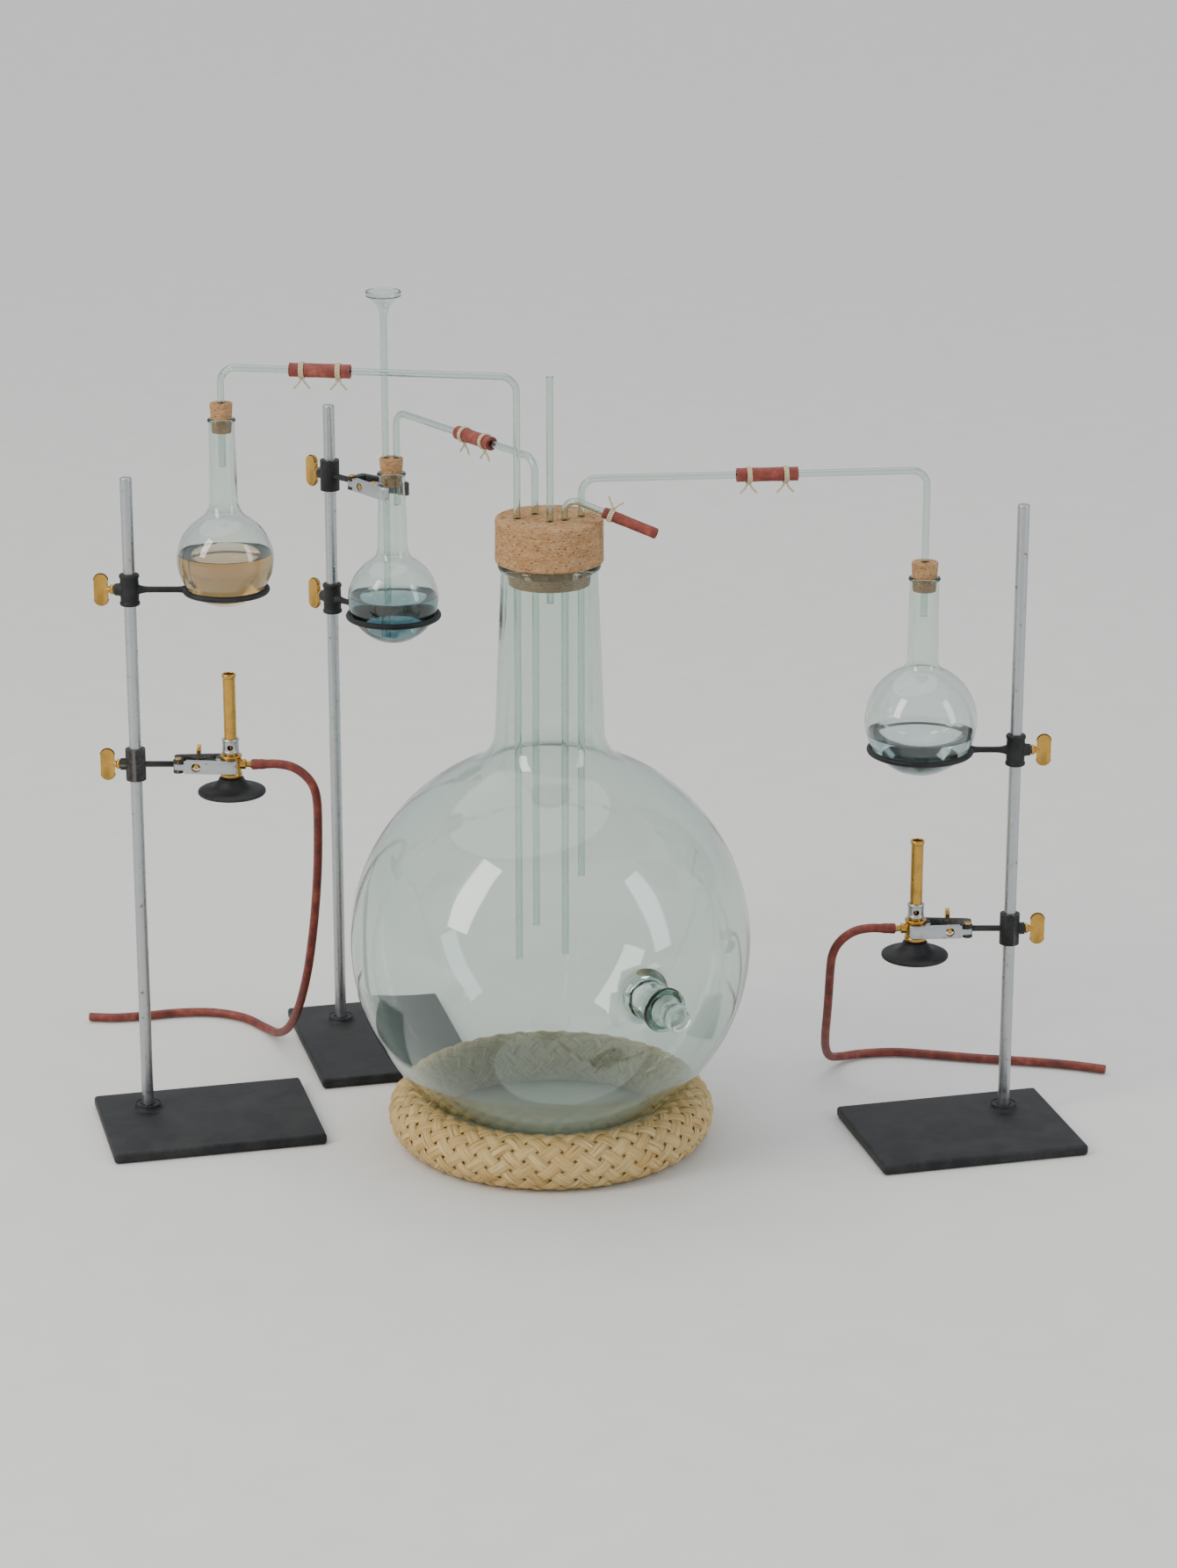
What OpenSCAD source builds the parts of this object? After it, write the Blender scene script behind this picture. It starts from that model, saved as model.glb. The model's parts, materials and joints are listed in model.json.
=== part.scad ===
// Gas mixing apparatus: a tubulated globe flask on a straw ring, fed by three small
// flasks on retort stands, two of them over gas burners held in clamps.
// Millimetres, +Z up, bench top at z = 0, origin under the middle of the whole set.

/* [Globe flask] */
// Outside diameter of the globe
globe_d = 400; // [380:1:410]
// Glass thickness of the globe
globe_wall = 4; // [3:0.5:5]
// Height of the neck's rim above the bench
globe_rim_z = 600; // [590:1:610]
// Outside radius at the foot of the neck
globe_neck_foot_r = 54; // [52:0.5:56]
// Outside radius at the rim of the neck
globe_neck_r = 46; // [45:0.5:48]
// Radius of the shoulder where globe and neck meet
globe_shoulder_r = 40; // [34:1:44]
// Height of the stopper's head above the rim
bung_head_h = 43; // [38:1:46]

/* [Tubulure] */
// Bearing of the side neck, clockwise from +X
tubulure_bearing = 63; // [56:1:68]
// How far the side neck points below level
tubulure_dip = -2; // [-4:1:8]
// Outside radius of the side neck
tubulure_r = 19; // [18:0.5:20]

/* [Straw ring] */
// Radius of the ring's centre line
straw_ring_r = 137; // [130:1:142]
// Radius of the straw rope
straw_rope_r = 28; // [26:0.5:30]
// Height of the rope's centre, less than its radius because the rope is pressed flat
straw_rope_z = 26; // [24:0.5:26]

/* [Glass tube] */
// Outside radius of all glass tube
tube_r = 3.5; // [3:0.1:3.8]
// Bore radius of all glass tube
tube_bore_r = 2.2; // [1.8:0.1:2.4]
// Radius of the bends, on the tube's centre line
tube_bend_r = 15; // [12:1:18]
// Outside radius of the rubber sleeves
sleeve_r = 7; // [6:0.25:7.5]
// Length of the rubber sleeves
sleeve_len = 60; // [54:1:64]
// Height of the left, middle and right delivery lines
line_z = [782, 698, 680];

/* [Stands] */
// Radius of the stand rods
rod_r = 6; // [5.5:0.1:6.5]
// Height of the left, middle and right rods
rod_top = [673, 690, 646];
// Long side, short side and thickness of a base plate
plate = [215, 160, 11];
// Turn of the base plates on the bench
plate_yaw = 14; // [8:1:18]
// Distance from a rod to the flask that hangs beside it
reach = 95; // [90:1:100]

/* [Burners] */
// Height of the left and right burners above the bench
burner_z = [350, 176];
// Height of a burner
burner_h = 124; // [118:1:130]
// Radius of a burner's iron foot
foot_r = 34; // [32:0.5:34]
// Radius of a burner's brass body
body_r = 11; // [10:0.5:11.5]
// Outside radius of the gas hose
hose_r = 4.5; // [4:0.25:5]

/* [Hidden] */
$fn = 72;

LEFT = 0;
MIDDLE = 1;
RIGHT = 2;

// Clearances: a sliding or turning fit, and the gap left between bodies that face each other.
fit = 0.05;
gap = 0.3;

// Plan positions. The globe's axis is off the origin, which is the middle of the footprint.
globe_at = [-32, -62];
rod_at = [[-445, -22], [-262, 224], [431, -22]];
middle_bearing = -45;
flask_at = [
    rod_at[LEFT] + [reach, 0],
    rod_at[MIDDLE] + reach * [cos(middle_bearing), sin(middle_bearing)],
    rod_at[RIGHT] - [reach, 0]
];
// Holes of the globe's stopper, from the globe's axis: three inlets, then air and exhaust.
inlet_hole = [[-31, -4], [-14, 15], [31, 5]];
air_hole = [1, -16];
exhaust_hole = [15, -10];
// The middle stopper has two holes, either side of its centre.
twin_hole = 5.6;
delivery_at = [flask_at[LEFT], flask_at[MIDDLE] + [twin_hole, 0], flask_at[RIGHT]];
inlet_at = [for (h = inlet_hole) globe_at + h];

// Globe.
globe_r = globe_d / 2;
globe_rest_gap = 0.1;
globe_z = straw_rope_z + globe_rest_gap
    + sqrt(pow(globe_r + straw_rope_r, 2) - pow(straw_ring_r, 2));
globe_bead_r = 4.5;
bung_r = 53;
bung_plug_h = 22;
bung_chamfer = 2;
tubulure_shoulder_r = 24;
tubulure_wall = 3.5;
tubulure_len = 46;
tubulure_bead_r = 3.2;
// The side neck's flare dips this far into the globe, so that the two surfaces cross.
flare_sink = 3;

// Inlet tubes: height of the lower end of each, and of the air and exhaust tubes.
inlet_low_z = [190, 219, 275];
air_z = [562, 785];
exhaust_low_z = 198;
exhaust_bend_z = 662;
exhaust_bearing = -17;
exhaust_droop = 18;
exhaust_run = 46;
exhaust_bend_r = 11;
tail_r = 5.5;
tail_bore_r = 3;
tail_len = 56;
tail_lap = 20;

// Rubber sleeves: how far each glass tube goes in, and where the middle of each sleeve is,
// as a share of the way from the globe's stopper to the flask.
sleeve_lap = 24;
sleeve_share = [0.66, 0.42, 0.535];
tie_inset = 12;
tie_r = 0.9;
tie_turns = 3;
tie_tail = 11;

// Small flasks: radius of the globe, of the neck's foot and mouth, of the shoulder,
// height of the globe's centre and of the rim.
flask_r = [47.5, 46.5, 56];
flask_foot_r = [14, 15.5, 15.5];
flask_mouth_r = [12, 13, 14];
flask_shoulder_r = [22, 18, 12];
flask_z = [591, 502, 426];
flask_rim_z = [732, 635, 573];
flask_wall = 1.6;
flask_bead_r = 2;
stopper_up = 15;
stopper_down = 14;
stopper_taper = 0.065;
delivery_below = [34, 20, 26];

// Thistle funnel.
thistle_z = [472, 793];
thistle_mouth_r = 18;
thistle_curve_r = 27;
thistle_wall = 1.2;
thistle_rim_h = 5;

// Support rings: height, and radius of the ring's centre line, which follows from the
// height at which a rope of that thickness touches the flask.
ring_z = [560, 484, 395];
ring_wire_r = 3;
ring_rest_gap = 0.1;
ring_r = [for (i = [LEFT:RIGHT])
    sqrt(pow(flask_r[i] + ring_wire_r + ring_rest_gap, 2) - pow(flask_z[i] - ring_z[i], 2))];
arm_r = 3;

// Boss: the sleeve that slides on a rod, with a lug for its thumbscrew.
boss_r = 10;
boss_h = 32;
lug_r = 6;
lug_x = 15;
screw_r = 3;
screw_head_x = 21;
paddle = [14, 32, 4.5];

// Clamps: the fingers hold a round thing of radius hold_r at `reach` from the rod.
finger_h = 13;
finger_t = 4.5;
knuckle_h = 6;
pivot_back = 52;
pivot_y = 7;
pin_r = 2;
knuckle_r = 5;
finger_gap = 0.2;
jaw_screw_back = 34;
jaw_screw_r = 2.5;
neck_clamp_z = 616;
neck_hold_r = 13.9;

// Burner, from the underside of its foot.
foot_h = 16;
body_z = [18, 40];
nipple_z = 30;
nipple_tip = 35;
burner_tube_r = 6.25;
burner_bore_r = 5;
air_hole_z = 49;
air_hole_r = 3;
collar_r = 8.6;
collar_z = [42, 57];

// Gas hoses, from just past the nipple's tip to the cut end on the bench.
left_hose_route = [
    [-314.6, -22, 380], [-304, -22, 380], [-291, -22, 377.5], [-280, -21.5, 371], [-271.5, -20, 361],
    [-267, -16, 348], [-266, -7, 329], [-267, 7, 300], [-269, 22, 260], [-273, 39, 214],
    [-279, 59, 165], [-287, 83, 117], [-298, 112, 71], [-311, 145, 35], [-326, 181, 13],
    [-343, 216, 5], [-368, 245, 5], [-402, 261, 5], [-439, 261, 5], [-475, 252, 5],
    [-508, 246, 5], [-537, 248, 5]
];
right_hose_route = [
    [300.6, -22, 206], [290, -22, 206], [277, -22, 203.5], [266, -21.5, 197], [257.5, -20, 187],
    [253, -16, 174], [252, -7, 157], [252, 5, 137], [252, 18, 114], [252, 35, 88],
    [252, 55, 61], [254, 78, 37], [260, 102, 18], [273, 125, 8], [298, 141, 5],
    [333, 145, 5], [372, 138, 5], [412, 129, 5], [451, 122, 5], [488, 115, 5],
    [520, 107, 5], [550, 96, 5]
];
hose_sides = 10;
hose_steps = 2;

// Colours.
GLASS = [0.78, 0.88, 0.88, 0.4];
CORK = [0.71, 0.50, 0.31];
RUBBER = [0.56, 0.20, 0.13];
STRAW = [0.78, 0.64, 0.36];
STRING = [0.86, 0.80, 0.66];
IRON = [0.16, 0.17, 0.18];
STEEL = [0.66, 0.68, 0.70];
BRASS = [0.76, 0.60, 0.28];

// ---------------------------------------------------------------- placing

module at(plan, z = 0, bearing = 0) {
    translate([plan[0], plan[1], z]) rotate([0, 0, bearing]) children();
}

// A stand's own frame: rod on the origin, flask at +X. The right one is a mirror image.
module stand(i, z = 0) {
    translate([rod_at[i][0], rod_at[i][1], z])
        rotate([0, 0, i == MIDDLE ? middle_bearing : 0])
            mirror([i == RIGHT ? 1 : 0, 0, 0]) children();
}

function bearing_of(v) = atan2(v[1], v[0]);
function plan_distance(a, b) = norm(b - a);

// The frame of a delivery line: at the globe's inlet, with +X towards the flask.
module along_line(i) {
    at(inlet_at[i], line_z[i], bearing_of(delivery_at[i] - inlet_at[i])) children();
}

module pipe_x(x0, x1, r) {
    translate([x0, 0, 0]) rotate([0, 90, 0]) cylinder(r = r, h = x1 - x0);
}

module pipe_z(z0, z1, r) {
    translate([0, 0, z0]) cylinder(r = r, h = z1 - z0);
}

module hollow_z(z0, z1, r, bore) {
    difference() {
        pipe_z(z0, z1, r);
        pipe_z(z0 - 1, z1 + 1, bore);
    }
}

// ---------------------------------------------------------------- glass

// Half outline of a neck that leaves a globe of radius r through a round shoulder.
module neck_outline(r, foot, mouth, shoulder, top) {
    shoulder_z = sqrt(pow(r + shoulder, 2) - pow(foot + shoulder, 2));
    difference() {
        polygon([[0, 0], [foot + shoulder, shoulder_z], [foot, shoulder_z], [mouth, top], [0, top]]);
        translate([foot + shoulder, shoulder_z]) circle(r = shoulder);
    }
}

module half_disc(r) {
    intersection() {
        circle(r = r);
        translate([0, -r]) square([r, 2 * r]);
    }
}

module flask_outline(r, foot, mouth, shoulder, top) {
    half_disc(r);
    neck_outline(r, foot, mouth, shoulder, top);
}

// A flask round the origin: globe, shoulder, neck and beaded rim, as one blown wall.
module flask_glass(r, foot, mouth, shoulder, top, wall, bead) {
    rotate_extrude() difference() {
        union() {
            flask_outline(r, foot, mouth, shoulder, top);
            translate([mouth, top - bead]) circle(r = bead);
        }
        flask_outline(r - wall, foot - wall, mouth - wall, shoulder + wall, top);
        translate([0, top - 1]) square([mouth - wall, bead + 2]);
    }
}

module small_flask(i) {
    color(GLASS) at(flask_at[i], flask_z[i])
        flask_glass(flask_r[i], flask_foot_r[i], flask_mouth_r[i], flask_shoulder_r[i],
            flask_rim_z[i] - flask_z[i], flask_wall, flask_bead_r);
}

// The side neck's frame: +Z out along its axis, from the globe's centre.
module tubulure_axis() {
    at(globe_at, globe_z, -tubulure_bearing) rotate([0, 90 + tubulure_dip, 0]) children();
}

module tubulure_solid(radius, shoulder, out) {
    shoulder_z = sqrt(pow(globe_r + tubulure_shoulder_r, 2)
        - pow(tubulure_r + tubulure_shoulder_r, 2)) - flare_sink;
    rotate_extrude() difference() {
        polygon([[0, globe_r - 12], [radius + shoulder, globe_r - 12],
            [radius + shoulder, shoulder_z], [radius, shoulder_z], [radius, out], [0, out]]);
        translate([radius + shoulder, shoulder_z]) circle(r = shoulder);
    }
}

module globe_flask() {
    mouth_out = globe_r + tubulure_len;
    color(GLASS) difference() {
        union() {
            at(globe_at, globe_z) flask_glass(globe_r, globe_neck_foot_r, globe_neck_r,
                globe_shoulder_r, globe_rim_z - globe_z, globe_wall, globe_bead_r);
            difference() {
                tubulure_axis() union() {
                    tubulure_solid(tubulure_r, tubulure_shoulder_r, mouth_out);
                    translate([0, 0, mouth_out - tubulure_bead_r]) rotate_extrude()
                        translate([tubulure_r, 0]) circle(r = tubulure_bead_r);
                }
                at(globe_at, globe_z) sphere(r = globe_r - globe_wall / 2);
            }
        }
        tubulure_axis() pipe_z(globe_r - 20, mouth_out + 8, tubulure_r - tubulure_wall);
    }
}

// The cut across a glass tube; `thin` comes off both faces of its wall.
module tube_section(thin = 0) {
    difference() {
        circle(r = tube_r - thin);
        circle(r = tube_bore_r + thin);
    }
}

// A tube that comes up from `low`, bends and runs out along +X, drooping below level.
// A bend that isn't square laps a little into both legs, inside their walls.
module bent_tube(low, run, bend, droop = 0) {
    lap = droop == 0 ? 0 : 1;
    union() {
        translate([0, 0, -low]) linear_extrude(low - bend) tube_section();
        translate([bend, 0, -bend]) rotate([90, 0, 0]) rotate([0, 0, 90 - droop - lap])
            rotate_extrude(angle = 90 + droop + 2 * lap) translate([bend, 0])
                tube_section(0.03 * lap);
        drooping_leg(bend, droop) rotate([0, 90, 0]) linear_extrude(run - bend) tube_section();
    }
}

// The frame at the start of the leg that runs out, with +X along the leg.
module drooping_leg(bend, droop) {
    translate([bend, 0, -bend]) rotate([0, droop, 0]) translate([0, 0, bend]) children();
}

module delivery_run(i) {
    length = plan_distance(delivery_at[i], inlet_at[i]);
    middle = sleeve_share[i] * length;
    far = length - (middle - sleeve_len / 2 + sleeve_len - sleeve_lap);
    low = line_z[i] - (flask_rim_z[i] - stopper_down - delivery_below[i]);
    at(delivery_at[i], line_z[i], bearing_of(inlet_at[i] - delivery_at[i]))
        bent_tube(low, far, tube_bend_r);
}

module inlet_run(i) {
    length = plan_distance(delivery_at[i], inlet_at[i]);
    near = sleeve_share[i] * length - sleeve_len / 2 + sleeve_lap;
    along_line(i) bent_tube(line_z[i] - inlet_low_z[i], near, tube_bend_r);
}

module air_tube() {
    color(GLASS) at(globe_at + air_hole) hollow_z(air_z[0], air_z[1], tube_r, tube_bore_r);
}

module exhaust_frame() {
    at(globe_at + exhaust_hole, exhaust_bend_z, exhaust_bearing) children();
}

module exhaust_leg() {
    exhaust_frame() drooping_leg(exhaust_bend_r, exhaust_droop) children();
}

module exhaust_tube() {
    color(GLASS) exhaust_frame()
        bent_tube(exhaust_bend_z - exhaust_low_z, exhaust_run + exhaust_bend_r, exhaust_bend_r,
            exhaust_droop);
}

module thistle_funnel() {
    cone_h = sqrt(pow(thistle_curve_r, 2)
        - pow(tube_r + thistle_curve_r - thistle_mouth_r, 2));
    color(GLASS) at(flask_at[MIDDLE] - [twin_hole, 0]) union() {
        hollow_z(thistle_z[0], thistle_z[1], tube_r, tube_bore_r);
        translate([0, 0, thistle_z[1]]) rotate_extrude() difference() {
            union() {
                difference() {
                    square([thistle_mouth_r, cone_h]);
                    translate([tube_r + thistle_curve_r, 0]) circle(r = thistle_curve_r);
                }
                translate([0, cone_h]) square([thistle_mouth_r, thistle_rim_h]);
            }
            difference() {
                square([thistle_mouth_r - thistle_wall, cone_h + thistle_rim_h]);
                translate([tube_bore_r + thistle_curve_r + thistle_wall, 0])
                    circle(r = thistle_curve_r + thistle_wall / 2);
            }
        }
    }
}

// ---------------------------------------------------------------- stoppers

module globe_bung() {
    plug_r = globe_neck_r - globe_wall - 0.2;
    holes = concat(inlet_hole, [air_hole, exhaust_hole]);
    color(CORK) at(globe_at, globe_rim_z) difference() {
        rotate_extrude() polygon([[0, -bung_plug_h], [plug_r - 2.5, -bung_plug_h], [plug_r, 0],
            [bung_r - 1, 0], [bung_r, 1], [bung_r, bung_head_h - bung_chamfer],
            [bung_r - bung_chamfer, bung_head_h], [0, bung_head_h]]);
        for (h = holes) at(h, -bung_plug_h - 1)
            cylinder(r = tube_r + fit, h = bung_plug_h + bung_head_h + 2);
    }
}

module stopper(i, holes) {
    seat_r = flask_mouth_r[i] - flask_wall - 0.1;
    color(CORK) at(flask_at[i], flask_rim_z[i]) difference() {
        rotate_extrude() polygon([[0, -stopper_down],
            [seat_r - stopper_taper * stopper_down - 0.5, -stopper_down],
            [seat_r - stopper_taper * (stopper_down - 1), 1 - stopper_down],
            [seat_r + stopper_taper * (stopper_up - 1), stopper_up - 1],
            [seat_r + stopper_taper * stopper_up - 1, stopper_up], [0, stopper_up]]);
        for (h = holes) at(h, -stopper_down - 1)
            cylinder(r = tube_r + fit, h = stopper_up + stopper_down + 2);
    }
}

module tubulure_stopper() {
    mouth_out = globe_r + tubulure_len;
    plug_r = tubulure_r - tubulure_wall - 0.2;
    waist_r = 9.5;
    knob_r = 14;
    color(GLASS) tubulure_axis() translate([0, 0, mouth_out]) rotate_extrude() union() {
        polygon([[0, -28], [plug_r - 2, -28], [plug_r, 2], [plug_r, 3], [waist_r, 7],
            [waist_r, 13], [knob_r - 3, 15], [knob_r, 18], [knob_r, 25], [knob_r - 3, 28],
            [0, 28]]);
    }
}

// ---------------------------------------------------------------- rubber and string

module rubber_sleeve(i) {
    middle = sleeve_share[i] * plan_distance(delivery_at[i], inlet_at[i]);
    along_line(i) difference() {
        pipe_x(middle - sleeve_len / 2, middle + sleeve_len / 2, sleeve_r);
        pipe_x(middle - sleeve_len, middle + sleeve_len, tube_r + fit);
    }
}

// A string tie round a sleeve along X: turns side by side and two short tails below.
module tie(sleeve) {
    coil_r = sleeve + tie_r + fit;
    for (k = [0:tie_turns - 1]) translate([(k - (tie_turns - 1) / 2) * 1.7 * tie_r, 0, 0])
        rotate([0, 90, 0]) rotate_extrude() translate([coil_r, 0]) circle(r = tie_r);
    for (side = [-1, 1]) translate([0, 0, -coil_r]) rotate([0, 180 + 24 * side, 0])
        cylinder(r = tie_r, h = tie_tail);
}

module sleeve_ties() {
    color(STRING) for (i = [LEFT:RIGHT]) {
        middle = sleeve_share[i] * plan_distance(delivery_at[i], inlet_at[i]);
        for (side = [-1, 1]) along_line(i)
            translate([middle + side * (sleeve_len / 2 - tie_inset), 0, 0]) tie(sleeve_r);
    }
}

// The rubber is stretched over the glass; its free end keeps the rubber's own bore.
module exhaust_tail() {
    color(RUBBER) exhaust_leg() difference() {
        pipe_x(exhaust_run - tail_lap, exhaust_run - tail_lap + tail_len, tail_r);
        pipe_x(0, exhaust_run + fit, tube_r + fit);
        pipe_x(exhaust_run, exhaust_run + tail_len, tail_bore_r);
    }
}

module exhaust_tie() {
    color(STRING) exhaust_leg() translate([exhaust_run - tail_lap + 8, 0, 0]) rotate([180, 0, 0])
        tie(tail_r);
}

function spline_point(a, b, c, d, t) = 0.5 * ((2 * b) + (c - a) * t
    + (2 * a - 5 * b + 4 * c - d) * t * t + (3 * b - a - 3 * c + d) * t * t * t);

function route_points(route, steps) = concat(
    [for (k = [0:len(route) - 2], s = [0:steps - 1])
        spline_point(route[max(k - 1, 0)], route[k], route[k + 1],
            route[min(k + 2, len(route) - 1)], s / steps)],
    [route[len(route) - 1]]);

function unit(v) = v / norm(v);

// A ring of points round each point of the route, square to the way it runs there.
function ring_points(line, r, sides) = [for (k = [0:len(line) - 1])
    let (way = unit(line[min(k + 1, len(line) - 1)] - line[max(k - 1, 0)]),
        across = unit(cross(way, [1, 1, 1])), up = cross(way, across))
    for (s = [0:sides - 1]) line[k] + r * (cos(360 * s / sides) * across + sin(360 * s / sides) * up)];

module hose(route) {
    line = route_points(route, hose_steps);
    n = hose_sides;
    last = (len(line) - 1) * n;
    sides = [for (k = [0:len(line) - 2], s = [0:n - 1])
        [k * n + s, k * n + (s + 1) % n, (k + 1) * n + (s + 1) % n, (k + 1) * n + s]];
    near_end = [for (s = [0:n - 1]) n - 1 - s];
    far_end = [for (s = [0:n - 1]) last + s];
    color(RUBBER) polyhedron(ring_points(line, hose_r, n), concat(sides, [near_end, far_end]));
}

module straw_ring() {
    color(STRAW) at(globe_at) rotate_extrude() intersection() {
        translate([straw_ring_r, straw_rope_z]) circle(r = straw_rope_r);
        translate([straw_ring_r - 2 * straw_rope_r, 0]) square([4 * straw_rope_r, 3 * straw_rope_r]);
    }
}

// ---------------------------------------------------------------- stands

// A base plate round the rod's hole: from low to high, with a raised seat for the rod.
module base_plate(i, low, high, yaw) {
    color(IRON) at(rod_at[i], 0, yaw) difference() {
        union() {
            translate([low[0], low[1], 0]) cube([high[0] - low[0], high[1] - low[1], plate[2]]);
            pipe_z(0, plate[2] + 4.5, 12.5);
        }
        pipe_z(-1, plate[2] + 6, rod_r + fit);
    }
}

module side_base(i) {
    near = i == LEFT ? -50 : 50 - plate[0];
    base_plate(i, [near, 45 - plate[1]], [near + plate[0], 45], plate_yaw);
}

module middle_base() {
    base_plate(MIDDLE, [-50, 50 - plate[0]], [plate[1] - 50, 50], plate_yaw);
}

module rod(i) {
    bevel = 1.5;
    color(STEEL) at(rod_at[i]) union() {
        pipe_z(0, rod_top[i] - bevel, rod_r);
        translate([0, 0, rod_top[i] - bevel]) cylinder(r1 = rod_r, r2 = rod_r - bevel, h = bevel);
    }
}

module boss_solid() {
    pipe_z(-boss_h / 2, boss_h / 2, boss_r);
    pipe_x(-lug_x, 0, lug_r);
}

module boss_holes() {
    pipe_z(-boss_h, boss_h, rod_r + fit);
    pipe_x(-lug_x - 1, 0, screw_r + fit);
}

module ring_support(i) {
    color(IRON) stand(i, ring_z[i]) union() {
        difference() {
            boss_solid();
            boss_holes();
        }
        pipe_x(rod_r + 2, reach - ring_r[i], arm_r);
        translate([reach, 0, 0]) rotate_extrude() translate([ring_r[i], 0]) circle(r = ring_wire_r);
    }
}

// Thumbscrew of a boss: shank towards the rod, flat oval head in the plane of the arm.
module thumbscrew() {
    half = paddle[2] / 2;
    color(BRASS) union() {
        pipe_x(-screw_head_x - 1, -rod_r - gap, screw_r);
        pipe_x(-screw_head_x, -screw_head_x + 3, screw_r + 2);
        translate([-screw_head_x - paddle[0] / 2, half, 0]) rotate([90, 0, 0])
            linear_extrude(paddle[2]) union() {
                for (s = [-1, 1]) translate([0, s * (paddle[1] - paddle[0]) / 2])
                    circle(r = paddle[0] / 2);
                square([paddle[0], paddle[1] - paddle[0]], center = true);
            }
    }
}

// ---------------------------------------------------------------- clamps

// Plan of the finger on the -Y side of a held radius: a bar from the pivot, then a hook.
module finger_plan(hold) {
    out = hold + finger_t;
    difference() {
        union() {
            circle(r = out);
            translate([-pivot_back, -pivot_y]) circle(r = knuckle_r);
            polygon([[-pivot_back, -pivot_y - knuckle_r], [0, -out], [0, -hold],
                [-pivot_back + 2, -pivot_y + 1]]);
        }
        circle(r = hold + finger_gap);
        translate([-out - 2, -3]) square([3 * out, 2 * out]);
        translate([hold * 0.6, -2 * out]) square([2 * out, 4 * out]);
    }
}

// The moving finger: full height over its length, a thin knuckle at the pivot.
module finger(hold) {
    color(STEEL) difference() {
        translate([0, 0, -finger_h / 2]) linear_extrude(finger_h) finger_plan(hold);
        for (s = [-1, 1]) translate([-pivot_back, -pivot_y, s * (finger_h + knuckle_h) / 2])
            cylinder(r = knuckle_r + 3, h = finger_h, center = true);
        translate([-pivot_back, -pivot_y, -finger_h]) cylinder(r = pin_r + fit, h = 2 * finger_h);
        translate([-jaw_screw_back, 0, 0]) rotate([90, 0, 0])
            cylinder(r = jaw_screw_r + 2, h = 3 * pivot_y + hold);
    }
}

// The boss, arm and fixed finger of a clamp, in the frame of its stand.
module clamp_frame(hold) {
    color(IRON) union() {
        difference() {
            boss_solid();
            boss_holes();
        }
        translate([reach, 0, 0]) difference() {
            union() {
                pipe_x(rod_r + 2 - reach, -pivot_back - 2, arm_r);
                translate([0, 0, -finger_h / 2]) linear_extrude(finger_h)
                    mirror([0, 1]) finger_plan(hold);
                translate([0, 0, -finger_h / 2]) linear_extrude(finger_h)
                    polygon([[-pivot_back - 4, -pivot_y], [-pivot_back, -pivot_y - knuckle_r],
                        [-pivot_back + 4, -pivot_y], [-pivot_back + 5, pivot_y],
                        [-pivot_back - 4, pivot_y + 2]]);
                translate([-pivot_back, -pivot_y, -finger_h / 2])
                    cylinder(r = knuckle_r, h = finger_h);
            }
            translate([-pivot_back, -pivot_y, 0])
                cylinder(r = knuckle_r + 2, h = knuckle_h + 2 * gap, center = true);
            translate([-pivot_back, -pivot_y, -finger_h]) cylinder(r = pin_r + fit, h = 2 * finger_h);
            translate([-jaw_screw_back, 3 * pivot_y + hold, 0]) rotate([90, 0, 0])
                cylinder(r = jaw_screw_r + fit, h = 3 * pivot_y + hold);
        }
    }
}

module jaw_pin() {
    color(BRASS) translate([reach - pivot_back, -pivot_y, 0]) union() {
        pipe_z(-finger_h / 2 - 1, finger_h / 2 + 0.5, pin_r);
        pipe_z(finger_h / 2 + fit, finger_h / 2 + 2, pin_r + 1.5);
    }
}

// The screw that closes the fingers: its head is behind, and its tip is in the moving finger.
module jaw_screw(hold) {
    head_y = hold + finger_t + 3;
    color(BRASS) translate([reach - jaw_screw_back, 0, 0]) union() {
        translate([0, head_y + 1, 0]) rotate([90, 0, 0])
            cylinder(r = jaw_screw_r, h = head_y + hold + 1);
        translate([0, head_y + 1, 0]) rotate([90, 0, 0]) cylinder(r = jaw_screw_r + 2, h = 2);
        translate([0, head_y + 6, 0]) rotate([0, 90, 0]) translate([0, 0, -2])
            linear_extrude(4) union() {
                for (s = [-1, 1]) translate([s * 7, 0]) circle(r = 5.5);
                square([14, 11], center = true);
            }
    }
}

// ---------------------------------------------------------------- burners

// A burner stands on its own axis, with its gas nipple towards +X.
module burner(i) {
    stand(i == 0 ? LEFT : RIGHT, burner_z[i]) translate([reach, 0, 0]) children();
}

module burner_foot() {
    dome_r = 24;
    color(IRON) difference() {
        rotate_extrude() difference() {
            union() {
                square([foot_r, 4]);
                square([dome_r + 8, foot_h]);
            }
            translate([foot_r - 2, foot_h + 3]) circle(r = 14);
            translate([foot_r - 12, 4]) square([20, 30]);
        }
        pipe_z(-1, 4, 6);
        pipe_z(foot_h - 8, foot_h + 1, 5 + fit);
    }
}

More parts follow.
